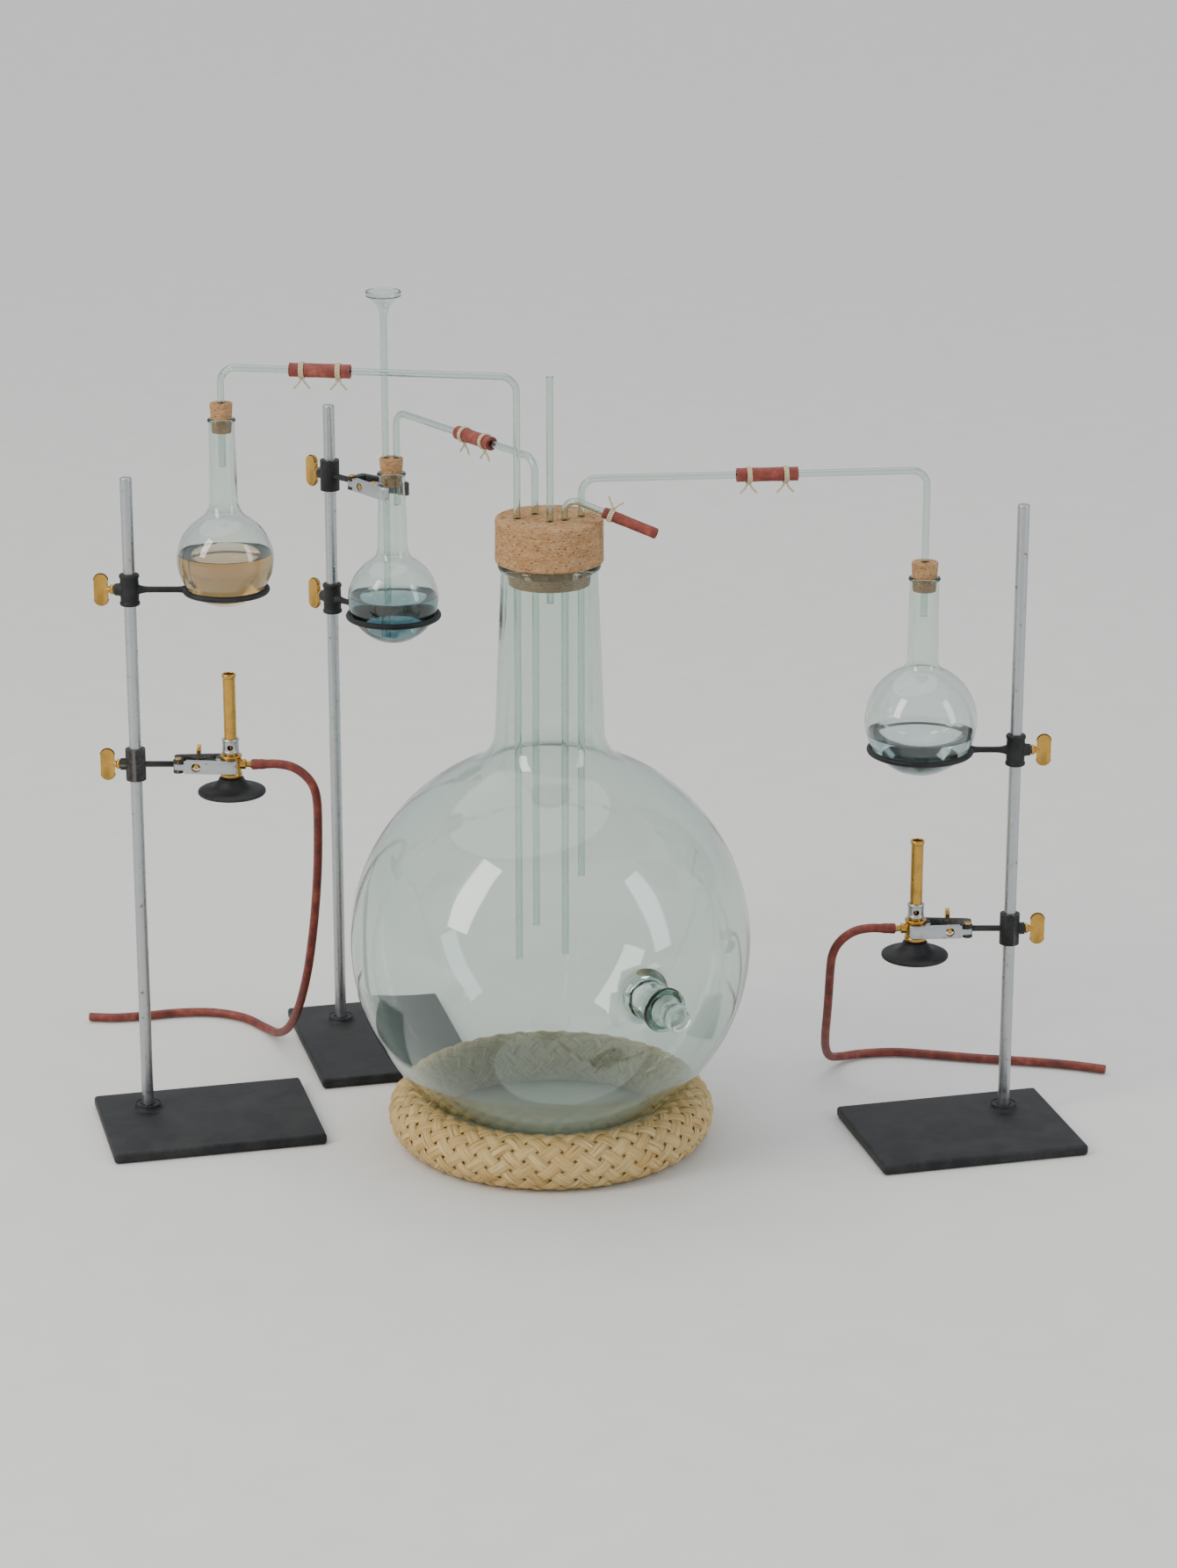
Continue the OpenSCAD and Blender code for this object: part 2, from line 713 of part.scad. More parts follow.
// Brass body: stem in the foot, block with the gas way, nipple, and jet up into the tube.
module burner_body() {
    color(BRASS) difference() {
        union() {
            pipe_z(foot_h - 7, foot_h + 1, 5);
            pipe_z(foot_h + fit, body_z[0], 7.5);
            pipe_z(body_z[0], body_z[1], body_r);
            translate([0, 0, body_z[1]]) cylinder(r1 = 2.6, r2 = 1.6, h = 9);
            translate([0, 0, nipple_z]) pipe_x(0, nipple_tip, 3);
            for (x = [19, 24, 29]) translate([x, 0, nipple_z]) rotate([0, 90, 0])
                cylinder(r1 = 4, r2 = 3, h = 4);
            translate([0, 0, nipple_z]) pipe_x(body_r - 1, body_r + 4, 5);
        }
        translate([0, 0, nipple_z]) pipe_x(0, nipple_tip + 1, 1.8);
        pipe_z(nipple_z - 1, body_z[1] + 5, 1.2);
        pipe_z(body_z[1] + 4, body_z[1] + 10, 0.6);
        difference() {
            pipe_z(body_z[1] - 4, body_z[1] + 1, burner_tube_r + fit);
            pipe_z(body_z[1] - 5, body_z[1] + 2, 4.4);
        }
    }
}

module burner_tube() {
    color(BRASS) difference() {
        hollow_z(body_z[1] - 4, burner_h, burner_tube_r, burner_bore_r);
        translate([0, -10, air_hole_z]) rotate([-90, 0, 0]) cylinder(r = air_hole_r, h = 20);
    }
}

module burner_collar() {
    color(STEEL) difference() {
        hollow_z(collar_z[0], collar_z[1], collar_r, burner_tube_r + fit);
        translate([0, -12, air_hole_z]) rotate([-90, 0, 0]) cylinder(r = air_hole_r, h = 24);
    }
}

// ---------------------------------------------------------------- nodes

globe_flask();
straw_ring();
globe_bung();
tubulure_stopper();
air_tube();
exhaust_tube();
exhaust_tail();
exhaust_tie();
color(GLASS) inlet_run(LEFT);  // left_inlet
color(GLASS) inlet_run(MIDDLE);  // middle_inlet
color(GLASS) inlet_run(RIGHT);  // right_inlet
color(RUBBER) for (i = [LEFT:RIGHT]) rubber_sleeve(i);  // rubber_sleeves
sleeve_ties();

side_base(LEFT);  // left_base
rod(LEFT);  // left_rod
ring_support(LEFT);  // left_ring
stand(LEFT, ring_z[LEFT]) thumbscrew();  // left_ring_screw
small_flask(LEFT);  // left_flask
stopper(LEFT, [[0, 0]]);  // left_stopper
color(GLASS) delivery_run(LEFT);  // left_delivery
stand(LEFT, burner_z[0] + nipple_z) clamp_frame(body_r);  // left_clamp
stand(LEFT, burner_z[0] + nipple_z) thumbscrew();  // left_clamp_screw
stand(LEFT, burner_z[0] + nipple_z) translate([reach, 0, 0]) finger(body_r);  // left_jaw
stand(LEFT, burner_z[0] + nipple_z) jaw_pin();  // left_jaw_pin
stand(LEFT, burner_z[0] + nipple_z) jaw_screw(body_r);  // left_jaw_screw
burner(0) burner_foot();  // left_burner_foot
burner(0) burner_body();  // left_burner_body
burner(0) burner_tube();  // left_burner_tube
burner(0) burner_collar();  // left_burner_collar
hose(left_hose_route);  // left_gas_hose

middle_base();
rod(MIDDLE);  // middle_rod
ring_support(MIDDLE);  // middle_ring
stand(MIDDLE, ring_z[MIDDLE]) thumbscrew();  // middle_ring_screw
small_flask(MIDDLE);  // middle_flask
stopper(MIDDLE, [[-twin_hole, 0], [twin_hole, 0]]);  // middle_stopper
color(GLASS) delivery_run(MIDDLE);  // middle_delivery
thistle_funnel();
stand(MIDDLE, neck_clamp_z) clamp_frame(neck_hold_r);  // neck_clamp
stand(MIDDLE, neck_clamp_z) thumbscrew();  // neck_clamp_screw
stand(MIDDLE, neck_clamp_z) translate([reach, 0, 0]) finger(neck_hold_r);  // neck_jaw
stand(MIDDLE, neck_clamp_z) jaw_pin();  // neck_jaw_pin
stand(MIDDLE, neck_clamp_z) jaw_screw(neck_hold_r);  // neck_jaw_screw

side_base(RIGHT);  // right_base
rod(RIGHT);  // right_rod
ring_support(RIGHT);  // right_ring
stand(RIGHT, ring_z[RIGHT]) thumbscrew();  // right_ring_screw
small_flask(RIGHT);  // right_flask
stopper(RIGHT, [[0, 0]]);  // right_stopper
color(GLASS) delivery_run(RIGHT);  // right_delivery
stand(RIGHT, burner_z[1] + nipple_z) clamp_frame(body_r);  // right_clamp
stand(RIGHT, burner_z[1] + nipple_z) thumbscrew();  // right_clamp_screw
stand(RIGHT, burner_z[1] + nipple_z) translate([reach, 0, 0]) finger(body_r);  // right_jaw
stand(RIGHT, burner_z[1] + nipple_z) jaw_pin();  // right_jaw_pin
stand(RIGHT, burner_z[1] + nipple_z) jaw_screw(body_r);  // right_jaw_screw
burner(1) burner_foot();  // right_burner_foot
burner(1) burner_body();  // right_burner_body
burner(1) burner_tube();  // right_burner_tube
burner(1) burner_collar();  // right_burner_collar
hose(right_hose_route);  // right_gas_hose
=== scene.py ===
"""Gas mixing apparatus: a tubulated globe flask fed by three small flasks on retort stands.

Sizes are in millimetres here and in metres in the meshes. +X is right, +Y is back, +Z is up,
and the bench top is at zero.
"""

from __future__ import annotations

import json
import logging
import math
from dataclasses import dataclass, field
from enum import Enum
from typing import Any, Sequence

import bpy
from mathutils import Matrix, Vector


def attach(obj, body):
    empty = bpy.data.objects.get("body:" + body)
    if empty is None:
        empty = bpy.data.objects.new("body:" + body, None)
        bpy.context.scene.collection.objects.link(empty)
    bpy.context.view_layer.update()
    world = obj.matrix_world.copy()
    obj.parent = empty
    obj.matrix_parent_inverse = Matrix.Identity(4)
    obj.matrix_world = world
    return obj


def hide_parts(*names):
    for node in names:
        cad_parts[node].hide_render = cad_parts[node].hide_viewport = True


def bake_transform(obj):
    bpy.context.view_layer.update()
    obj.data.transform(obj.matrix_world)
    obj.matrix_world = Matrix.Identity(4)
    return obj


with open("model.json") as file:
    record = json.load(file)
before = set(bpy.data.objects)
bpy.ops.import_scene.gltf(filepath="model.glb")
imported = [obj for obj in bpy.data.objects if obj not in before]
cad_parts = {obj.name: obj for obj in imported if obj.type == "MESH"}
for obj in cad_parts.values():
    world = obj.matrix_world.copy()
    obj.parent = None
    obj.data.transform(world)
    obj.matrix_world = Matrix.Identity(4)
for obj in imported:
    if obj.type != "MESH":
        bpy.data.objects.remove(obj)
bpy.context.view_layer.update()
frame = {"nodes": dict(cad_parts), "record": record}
LOG = logging.getLogger("apparatus")

MM = 0.001
Point = tuple[float, float]
Corner = tuple[float, float, float]
Piece = bpy.types.Object

TUBE_R, TUBE_BORE, TUBE_BEND = 3.5, 2.2, 15.0
# Edge loops this far from each end keep the shading of a long tube true.
END_LOOP = 1.5
SLEEVE_R, SLEEVE_LEN, SLEEVE_LAP = 7.0, 60.0, 24.0


class Side(Enum):
    """The three stands."""

    LEFT = "left"
    MIDDLE = "middle"
    RIGHT = "right"


class Boolean(Enum):
    """How one solid is combined with another."""

    JOIN = "UNION"
    CUT = "DIFFERENCE"


# ------------------------------------------------------------------ places and outlines


def place(x: float, y: float, z: float, bearing: float = 0.0, tilt: float = 0.0) -> Matrix:
    """A local frame on the apparatus.

    Args:
        x, y, z: Its origin in millimetres.
        bearing: Turn about the vertical, in degrees.
        tilt: Turn about the frame's own Y axis, in degrees.

    Returns:
        The frame as a matrix in metres.
    """
    turn = (Matrix.Rotation(math.radians(bearing), 4, "Z")
            @ Matrix.Rotation(math.radians(tilt), 4, "Y"))
    return Matrix.Translation(Vector((x, y, z)) * MM) @ turn


def arc(x: float, z: float, r: float, start: float, end: float, steps: int) -> list[Point]:
    """Points of an arc round (x, z), from one angle to another in degrees."""
    turns = [math.radians(start + (end - start) * k / steps) for k in range(steps + 1)]
    return [(x + r * math.cos(t), z + r * math.sin(t)) for t in turns]


def rounded(corners: Sequence[Corner], steps: int = 4) -> list[Point]:
    """An outline with its corners eased.

    Args:
        corners: (radius, height, how far from the corner the easing starts).
        steps: Steps in each eased corner.

    Returns:
        The points of the outline.
    """
    points: list[Point] = []
    for k, (x, z, cut) in enumerate(corners):
        if cut == 0 or k in (0, len(corners) - 1):
            points.append((x, z))
            continue
        here = Vector((x, z))
        before, after = Vector(corners[k - 1][:2]) - here, Vector(corners[k + 1][:2]) - here
        a, b = here + before.normalized() * cut, here + after.normalized() * cut
        for s in range(steps + 1):
            t = s / steps
            p = a * (1 - t) ** 2 + here * 2 * t * (1 - t) + b * t * t
            points.append((p.x, p.y))
    return points


# ------------------------------------------------------------------ modelling by hand


def only(piece: Piece) -> None:
    """Select one piece, and nothing else."""
    bpy.ops.object.select_all(action="DESELECT")
    piece.select_set(True)
    bpy.context.view_layer.objects.active = piece


def started(name: str) -> Piece:
    """Name the primitive that was just added, open it for editing and select all of it."""
    piece = bpy.context.object
    piece.name = piece.data.name = name
    only(piece)
    bpy.ops.object.mode_set(mode="EDIT")
    bpy.ops.mesh.select_all(action="SELECT")
    return piece


def settled(piece: Piece, where: Matrix | None = None) -> Piece:
    """Close the edit, and put the piece's place into its mesh."""
    if bpy.context.mode != "OBJECT":
        bpy.ops.object.mode_set(mode="OBJECT")
    if where is not None:
        piece.matrix_world = where @ piece.matrix_world
    only(piece)
    bpy.ops.object.transform_apply(location=True, rotation=True, scale=True)
    return piece


def modify(piece: Piece, kind: str, **settings: Any) -> Piece:
    """Add a modifier of a kind with its settings, and apply it."""
    only(piece)
    modifier = piece.modifiers.new(kind.title(), kind)
    for key, value in settings.items():
        setattr(modifier, key, value)
    bpy.ops.object.modifier_apply(modifier=modifier.name)
    return piece


def cleaned(piece: Piece) -> Piece:
    """Close the slivers that a cut leaves, as triangles that stay closed when exported."""
    modify(piece, "TRIANGULATE", quad_method="BEAUTY", ngon_method="BEAUTY")
    bpy.ops.object.mode_set(mode="EDIT")
    bpy.ops.mesh.select_all(action="SELECT")
    bpy.ops.mesh.remove_doubles(threshold=4e-6)
    bpy.ops.mesh.dissolve_degenerate(threshold=4e-6)
    bpy.ops.object.mode_set(mode="OBJECT")
    return piece


def combine(piece: Piece, tools: Sequence[Piece], how: Boolean = Boolean.JOIN) -> Piece:
    """Join solids to a piece or cut them out of it, and use them up."""
    for tool in tools:
        modify(piece, "BOOLEAN", object=tool, operation=how.value, solver="EXACT")
        bpy.data.objects.remove(tool)
    return cleaned(piece)


def gathered(name: str, parts: Sequence[Piece]) -> Piece:
    """Make one object of several loose parts."""
    only(parts[0])
    for part in parts:
        part.select_set(True)
    bpy.ops.object.join()
    parts[0].name = parts[0].data.name = name
    return parts[0]


def smooth(piece: Piece, angle: float = 35.0) -> Piece:
    """Shade smooth, with edges sharper than the angle kept."""
    only(piece)
    bpy.ops.object.shade_smooth_by_angle(angle=math.radians(angle))
    return piece


def lathe(name: str, outline: Sequence[Point], where: Matrix, steps: int = 64) -> Piece:
    """Spin an outline round the local upright axis.

    Args:
        name: The piece's name.
        outline: (radius, height) points; the first point again at the end makes it a ring.
        where: The frame that it is spun in.
        steps: Facets round the axis.

    Returns:
        The closed solid.
    """
    bpy.ops.object.select_all(action="DESELECT")
    bpy.ops.mesh.primitive_plane_add(size=MM, location=(0, 0, 0))
    piece = started(name)
    bpy.ops.mesh.merge(type="CENTER")
    last = (0.0, 0.0)
    for k, (r, z) in enumerate(outline):
        move = ((r - last[0]) * MM, 0, (z - last[1]) * MM)
        if k == 0:
            bpy.ops.transform.translate(value=move)
        else:
            bpy.ops.mesh.extrude_vertices_move(TRANSFORM_OT_translate={"value": move})
        last = (r, z)
    bpy.ops.mesh.select_all(action="SELECT")
    bpy.ops.mesh.spin(steps=steps, angle=math.tau, center=(0, 0, 0), axis=(0, 0, 1))
    bpy.ops.mesh.select_all(action="SELECT")
    bpy.ops.mesh.remove_doubles(threshold=1e-6)
    bpy.ops.mesh.normals_make_consistent(inside=False)
    return smooth(settled(piece, where))


def drawn_tube(name: str, where: Matrix, low: float, bend: float, run: float, droop: float = 0.0,
               outer: float = TUBE_R, bore: float = TUBE_BORE) -> Piece:
    """A tube that comes up, bends over and runs out along local +X, with fire-polished ends.

    Args:
        name: The piece's name.
        where: Frame with its origin where the two legs' centre lines would cross.
        low: How far the lower end is below that.
        bend: Radius of the bend, or 0 for a straight tube of length `low`.
        run: How far the far end is along the leg that runs out.
        droop: How far that leg points below level, in degrees.
        outer, bore: Radii.

    Returns:
        The hollow tube.
    """
    bpy.ops.object.select_all(action="DESELECT")
    bpy.ops.mesh.primitive_circle_add(vertices=28, radius=outer * MM, location=(0, 0, -low * MM))
    piece = started(name)

    def pull(way: Vector, lengths: Sequence[float]) -> None:
        """Draw the open end out by each length in turn."""
        for length in lengths:
            bpy.ops.mesh.extrude_region_move(TRANSFORM_OT_translate={"value": way * length * MM})

    pull(Vector((0, 0, 1)), (END_LOOP, low - bend - 2 * END_LOOP, END_LOOP))
    if bend:
        turn = math.radians(90 + droop)
        bpy.ops.mesh.spin(steps=16, angle=-turn, center=(bend * MM, 0, -bend * MM), axis=(0, 1, 0))
        way = Vector((math.cos(turn - math.pi / 2), 0, -math.sin(turn - math.pi / 2)))
        pull(way, (END_LOOP, run - bend - 2 * END_LOOP, END_LOOP))
    bpy.ops.object.mode_set(mode="OBJECT")
    first = min(piece.data.polygons, key=lambda face: face.center.z)
    if first.normal.x * first.center.x + first.normal.y * first.center.y < 0:
        piece.data.flip_normals()
    modify(piece, "SOLIDIFY", thickness=(outer - bore) * MM, offset=-1, use_even_offset=True)
    modify(piece, "BEVEL", width=0.45 * MM, segments=3, limit_method="ANGLE", angle_limit=1.2)
    return smooth(settled(piece, where), 40)


def drill(where: Matrix, r: float, length: float, sides: int = 32) -> Piece:
    """A plain cylinder that starts at a frame and goes up it, to cut a hole or to be joined."""
    bpy.ops.object.select_all(action="DESELECT")
    bpy.ops.mesh.primitive_cylinder_add(vertices=sides, radius=r * MM, depth=length * MM,
                                        location=(0, 0, length * MM / 2))
    return settled(bpy.context.object, where)


def swept(name: str, stations: Sequence[tuple[Vector, float]], sides: int = 16, flat: float = 1.0,
          outward: Sequence[Vector] | None = None, shift: float = 0.0,
          closed: bool = False) -> Piece:
    """A cord or strand along a path, with a UV map that runs round it and along it.

    Args:
        name: The piece's name.
        stations: (point in metres, radius in millimetres) along the path.
        sides: Facets round it.
        flat: Thickness as a share of its width.
        outward: The way its flat side faces at each station, for a flat strand.
        shift: Added to the round coordinate of the UV map, so that strands differ.
        closed: Whether the path joins its own start.

    Returns:
        The closed tube.
    """
    n = len(stations)
    points = [p for p, _ in stations]
    vertices: list[Vector] = []
    up = Vector((0.0, 0.0, 1.0))
    along = [0.0]
    for k, (point, radius) in enumerate(stations):
        before = points[k - 1] if closed or k else points[k]
        after = points[(k + 1) % n] if closed else points[min(k + 1, n - 1)]
        if (after - before).length < 1e-9:
            before = points[max(k - 2, 0)]
        way = (after - before).normalized()
        if outward is not None:
            up = outward[k]
        elif k == 0 and abs(way.z) > 0.9:
            up = Vector((0.0, 1.0, 0.0))
        side = way.cross(up).normalized()
        up = side.cross(way).normalized()
        for s in range(sides):
            t = math.tau * s / sides
            vertices.append(point + (side * math.cos(t) + up * math.sin(t) * flat) * radius * MM)
        along.append(along[-1] + (points[(k + 1) % n] - point).length)
    faces, coords = [], []
    for k in range(n if closed else n - 1):
        for s in range(sides):
            a, b, ring = k * sides, ((k + 1) % n) * sides, (s + 1) % sides
            faces.append((a + s, a + ring, b + ring, b + s))
            u0, u1 = s / sides + shift, (s + 1) / sides + shift
            coords += [(u0, along[k]), (u1, along[k]), (u1, along[k + 1]), (u0, along[k + 1])]
    if not closed:
        faces += [tuple(reversed(range(sides))), tuple(range((n - 1) * sides, n * sides))]
        coords += [(shift, 0.0)] * sides + [(shift, along[n - 1])] * sides
    mesh = bpy.data.meshes.new(name)
    mesh.from_pydata(vertices, [], faces)
    layer = mesh.uv_layers.new(name="UVMap")
    for loop, uv in zip(layer.data, coords):
        loop.uv = uv
    piece = bpy.data.objects.new(name, mesh)
    bpy.context.scene.collection.objects.link(piece)
    only(piece)
    bpy.ops.object.mode_set(mode="EDIT")
    bpy.ops.mesh.select_all(action="SELECT")
    bpy.ops.mesh.normals_make_consistent(inside=False)
    bpy.ops.object.mode_set(mode="OBJECT")
    return smooth(piece, 50)


def trued_copy(node: str, name: str, ease: float) -> Piece:
    """A merged copy of a frame node with its edges eased.

    Args:
        node: The node to copy.
        name: The new piece's name.
        ease: Width of the bevel on its edges, in millimetres.

    Returns:
        The copy.
    """
    piece = bpy.data.objects.new(name, frame["nodes"][node].data.copy())
    piece.data.name = name
    bpy.context.scene.collection.objects.link(piece)
    only(piece)
    bpy.ops.object.mode_set(mode="EDIT")
    bpy.ops.mesh.select_all(action="SELECT")
    bpy.ops.mesh.remove_doubles(threshold=2e-6)
    bpy.ops.mesh.dissolve_limited(angle_limit=math.radians(1.0))
    bpy.ops.object.mode_set(mode="OBJECT")
    if ease:
        modify(piece, "BEVEL", width=ease * MM, segments=2, limit_method="ANGLE",
               angle_limit=math.radians(38), use_clamp_overlap=True)
    return smooth(cleaned(piece), 38)


# ------------------------------------------------------------------ finishes


def colour(code: str) -> tuple[float, float, float, float]:
    """The linear colour of an sRGB hex value such as #A07040."""
    parts = [int(code[k:k + 2], 16) / 255 for k in (1, 3, 5)]
    linear = [c / 12.92 if c <= 0.04045 else ((c + 0.055) / 1.055) ** 2.4 for c in parts]
    return (linear[0], linear[1], linear[2], 1.0)


def per(size: float) -> float:
    """The texture scale that gives a pattern of that size in millimetres."""
    return 1.0 / (size * MM)


def add_node(material: bpy.types.Material, kind: str, inputs: dict[Any, Any] | None = None,
             stops: Sequence[tuple[float, str]] = (), **settings: Any) -> bpy.types.Node:
    """Add a node with its settings, ramp stops and inputs.

    Args:
        material: The material that it goes in.
        kind: The node's type.
        inputs: Values by socket name; a value that is a socket is linked.
        stops: (position, hex colour) of a colour ramp.
        **settings: The node's own properties.

    Returns:
        The node.
    """
    tree = material.node_tree
    node = tree.nodes.new(kind)
    for key, value in settings.items():
        setattr(node, key, value)
    for k, (position, code) in enumerate(stops):
        elements = node.color_ramp.elements
        stop = elements[k] if k < 2 else elements.new(position)
        stop.position, stop.color = position, colour(code)
    for key, value in (inputs or {}).items():
        if isinstance(value, bpy.types.NodeSocket):
            tree.links.new(value, node.inputs[key])
        else:
            node.inputs[key].default_value = value
    return node


@dataclass(frozen=True)
class Finish:
    """A surface finish: its name, the record's slot, and the shader's constant values."""

    name: str
    slot: str
    base: str = "#FFFFFF"
    roughness: float = 0.5
    metallic: float = 0.0
    ior: float = 1.5
    transmission: float = 0.0

    def material(self) -> bpy.types.Material:
        """The material of this finish, made once."""
        found = bpy.data.materials.get(self.name)
        if found is not None:
            return found
        made = bpy.data.materials.new(self.name)
        made.use_nodes = True
        shader = made.node_tree.nodes["Principled BSDF"]
        values = {"Base Color": colour(self.base), "Roughness": self.roughness,
                  "Metallic": self.metallic, "Transmission Weight": self.transmission}
        if not self.metallic:
            values["IOR"] = self.ior
        for key, value in values.items():
            shader.inputs[key].default_value = value
        self.detail(made, shader.inputs)
        return made

    def detail(self, made: bpy.types.Material, shader: Any) -> None:
        """Link the finish's pattern to the shader; a plain finish has none."""

    def bump(self, made: bpy.types.Material, shader: Any, height: bpy.types.NodeSocket,
             depth: float) -> None:
        """Raise the surface by a height pattern, `depth` millimetres from low to high."""
        node = add_node(made, "ShaderNodeBump", {"Height": height, "Distance": depth * MM})
        made.node_tree.links.new(node.outputs["Normal"], shader["Normal"])

    def fill(self, made: bpy.types.Material, body: str, density: float) -> None:
        """Give clear stuff a colour of its own, which deepens with its thickness."""
        node = add_node(made, "ShaderNodeVolumeAbsorption",
                        {"Color": colour(body), "Density": density})
        output = made.node_tree.nodes["Material Output"]
        made.node_tree.links.new(node.outputs["Volume"], output.inputs["Volume"])


@dataclass(frozen=True)
class BlownGlass(Finish):
    """Clear glass blown or drawn by hand: its surface waves a little, and thick glass is green."""

    wave: float = 45.0
    depth: float = 0.25
    density: float = 20.0
    body: str = "#A9C9BC"

    def detail(self, made: bpy.types.Material, shader: Any) -> None:
        """Slow waves that bend the highlights a little."""
        coords = add_node(made, "ShaderNodeTexCoord")
        noise = add_node(made, "ShaderNodeTexNoise", {"Vector": coords.outputs["Object"],
                                                      "Scale": per(self.wave), "Detail": 1.0})
        self.bump(made, shader, noise.outputs["Fac"], self.depth)
        self.fill(made, self.body, self.density)


@dataclass(frozen=True)
class Liquid(Finish):
    """A clear solution in a flask, whose colour deepens with its depth."""

    body: str = "#FFFFFF"
    density: float = 10.0

    def detail(self, made: bpy.types.Material, shader: Any) -> None:
        """The solution's own colour."""
        self.fill(made, self.body, self.density)


@dataclass(frozen=True)
class CutCork(Finish):
    """Bark cork turned to shape: dry and matt, with dark pores and soft growth bands."""

    def detail(self, made: bpy.types.Material, shader: Any) -> None:
        """Bands across the bark, grain of 1.5 mm, and pores of 3 to 5 mm with dark hearts."""
        coords = add_node(made, "ShaderNodeTexCoord").outputs["Object"]
        stretch = add_node(made, "ShaderNodeMapping", {"Vector": coords, "Scale": (1.0, 1.0, 2.6)})
        grain = add_node(made, "ShaderNodeTexNoise", {
            "Vector": stretch.outputs["Vector"], "Scale": per(3.5), "Detail": 6.0,
            "Roughness": 0.7})
        bands = add_node(made, "ShaderNodeTexNoise", {
            "Vector": stretch.outputs["Vector"], "Scale": per(16), "Detail": 2.0})
        tone = add_node(made, "ShaderNodeValToRGB", {"Fac": grain.outputs["Fac"]},
                        stops=[(0.3, "#8E6D4C"), (0.72, "#D9BE98"), (0.52, "#BE9B72")])
        warm = add_node(made, "ShaderNodeMix", {
            "Factor": bands.outputs["Fac"], "A": tone.outputs["Color"], "B": colour("#D2B48C")},
            data_type="RGBA", blend_type="MULTIPLY")
        pores = add_node(made, "ShaderNodeTexVoronoi", {"Vector": stretch.outputs["Vector"],
                                                        "Scale": per(7)})
        hole = add_node(made, "ShaderNodeMapRange", {
            "Value": pores.outputs["Distance"], "From Min": 0.1, "From Max": 0.24})
        mixed = add_node(made, "ShaderNodeMix", {
            "Factor": hole.outputs["Result"], "A": colour("#4A2C18"), "B": warm.outputs["Result"]},
            data_type="RGBA")
        made.node_tree.links.new(mixed.outputs["Result"], shader["Base Color"])
        relief = add_node(made, "ShaderNodeMath",
                          {0: grain.outputs["Fac"], 1: hole.outputs["Result"]},
                          operation="MULTIPLY")
        self.bump(made, shader, relief.outputs["Value"], 0.5)


@dataclass(frozen=True)
class NaturalRubber(Finish):
    """Red vulcanised rubber tube: dull, with a pale bloom in patches and faint wrap marks."""

    dark: str = "#5E2015"
    bloom: str = "#A4644F"

    def detail(self, made: bpy.types.Material, shader: Any) -> None:
        """Bloom in 12 mm clouds, and cloth wrap marks a millimetre apart, drawn a little coarse."""
        coords = add_node(made, "ShaderNodeTexCoord").outputs["Object"]
        cloud = add_node(made, "ShaderNodeTexNoise", {"Vector": coords, "Scale": per(12),
                                                      "Detail": 5.0, "Roughness": 0.6})
        tone = add_node(made, "ShaderNodeValToRGB", {"Fac": cloud.outputs["Fac"]},
                        stops=[(0.32, self.dark), (0.78, self.bloom), (0.55, self.base)])
        made.node_tree.links.new(tone.outputs["Color"], shader["Base Color"])
        rough = add_node(made, "ShaderNodeMapRange", {
            "Value": cloud.outputs["Fac"], "To Min": self.roughness - 0.14,
            "To Max": self.roughness + 0.2})
        made.node_tree.links.new(rough.outputs["Result"], shader["Roughness"])
        fine = add_node(made, "ShaderNodeTexNoise", {"Vector": coords, "Scale": per(1.4),
                                                     "Detail": 3.0})
        self.bump(made, shader, fine.outputs["Fac"], 0.12)


@dataclass(frozen=True)
class PlaitedStraw(Finish):
    """Rye straw in flat plaits: long glossy fibres, each with its own shade of gold."""

    def detail(self, made: bpy.types.Material, shader: Any) -> None:
        """Stems about 1.6 mm wide along the strand, with painted shade in the gaps between them, and
        slow colour changes.
        """
        uv = add_node(made, "ShaderNodeTexCoord").outputs["UV"]
        fibre = add_node(made, "ShaderNodeMapping", {"Vector": uv, "Scale": (18.0, 26.0, 1.0)})
        stems = add_node(made, "ShaderNodeTexNoise", {
            "Vector": fibre.outputs["Vector"], "Scale": 1.0, "Detail": 4.0, "Roughness": 0.65})
        slow = add_node(made, "ShaderNodeMapping", {"Vector": uv, "Scale": (1.0, 9.0, 1.0)})
        shade = add_node(made, "ShaderNodeTexNoise", {
            "Vector": slow.outputs["Vector"], "Scale": 1.7, "Detail": 2.0})
        # The dark stop sits where the stem bump is lowest: painted shade in the gaps between the stems;
        # the lighter stops are the straw's own tones.
        tone = add_node(made, "ShaderNodeValToRGB", {"Fac": stems.outputs["Fac"]},
                        stops=[(0.3, "#6F5A34"), (0.7, "#F0DFAE"), (0.46, "#CDB57C")])
        mixed = add_node(made, "ShaderNodeMix", {
            "Factor": shade.outputs["Fac"], "A": tone.outputs["Color"], "B": colour("#DDBE86")},
            data_type="RGBA", blend_type="MULTIPLY")
        made.node_tree.links.new(mixed.outputs["Result"], shader["Base Color"])
        self.bump(made, shader, stems.outputs["Fac"], 0.9)


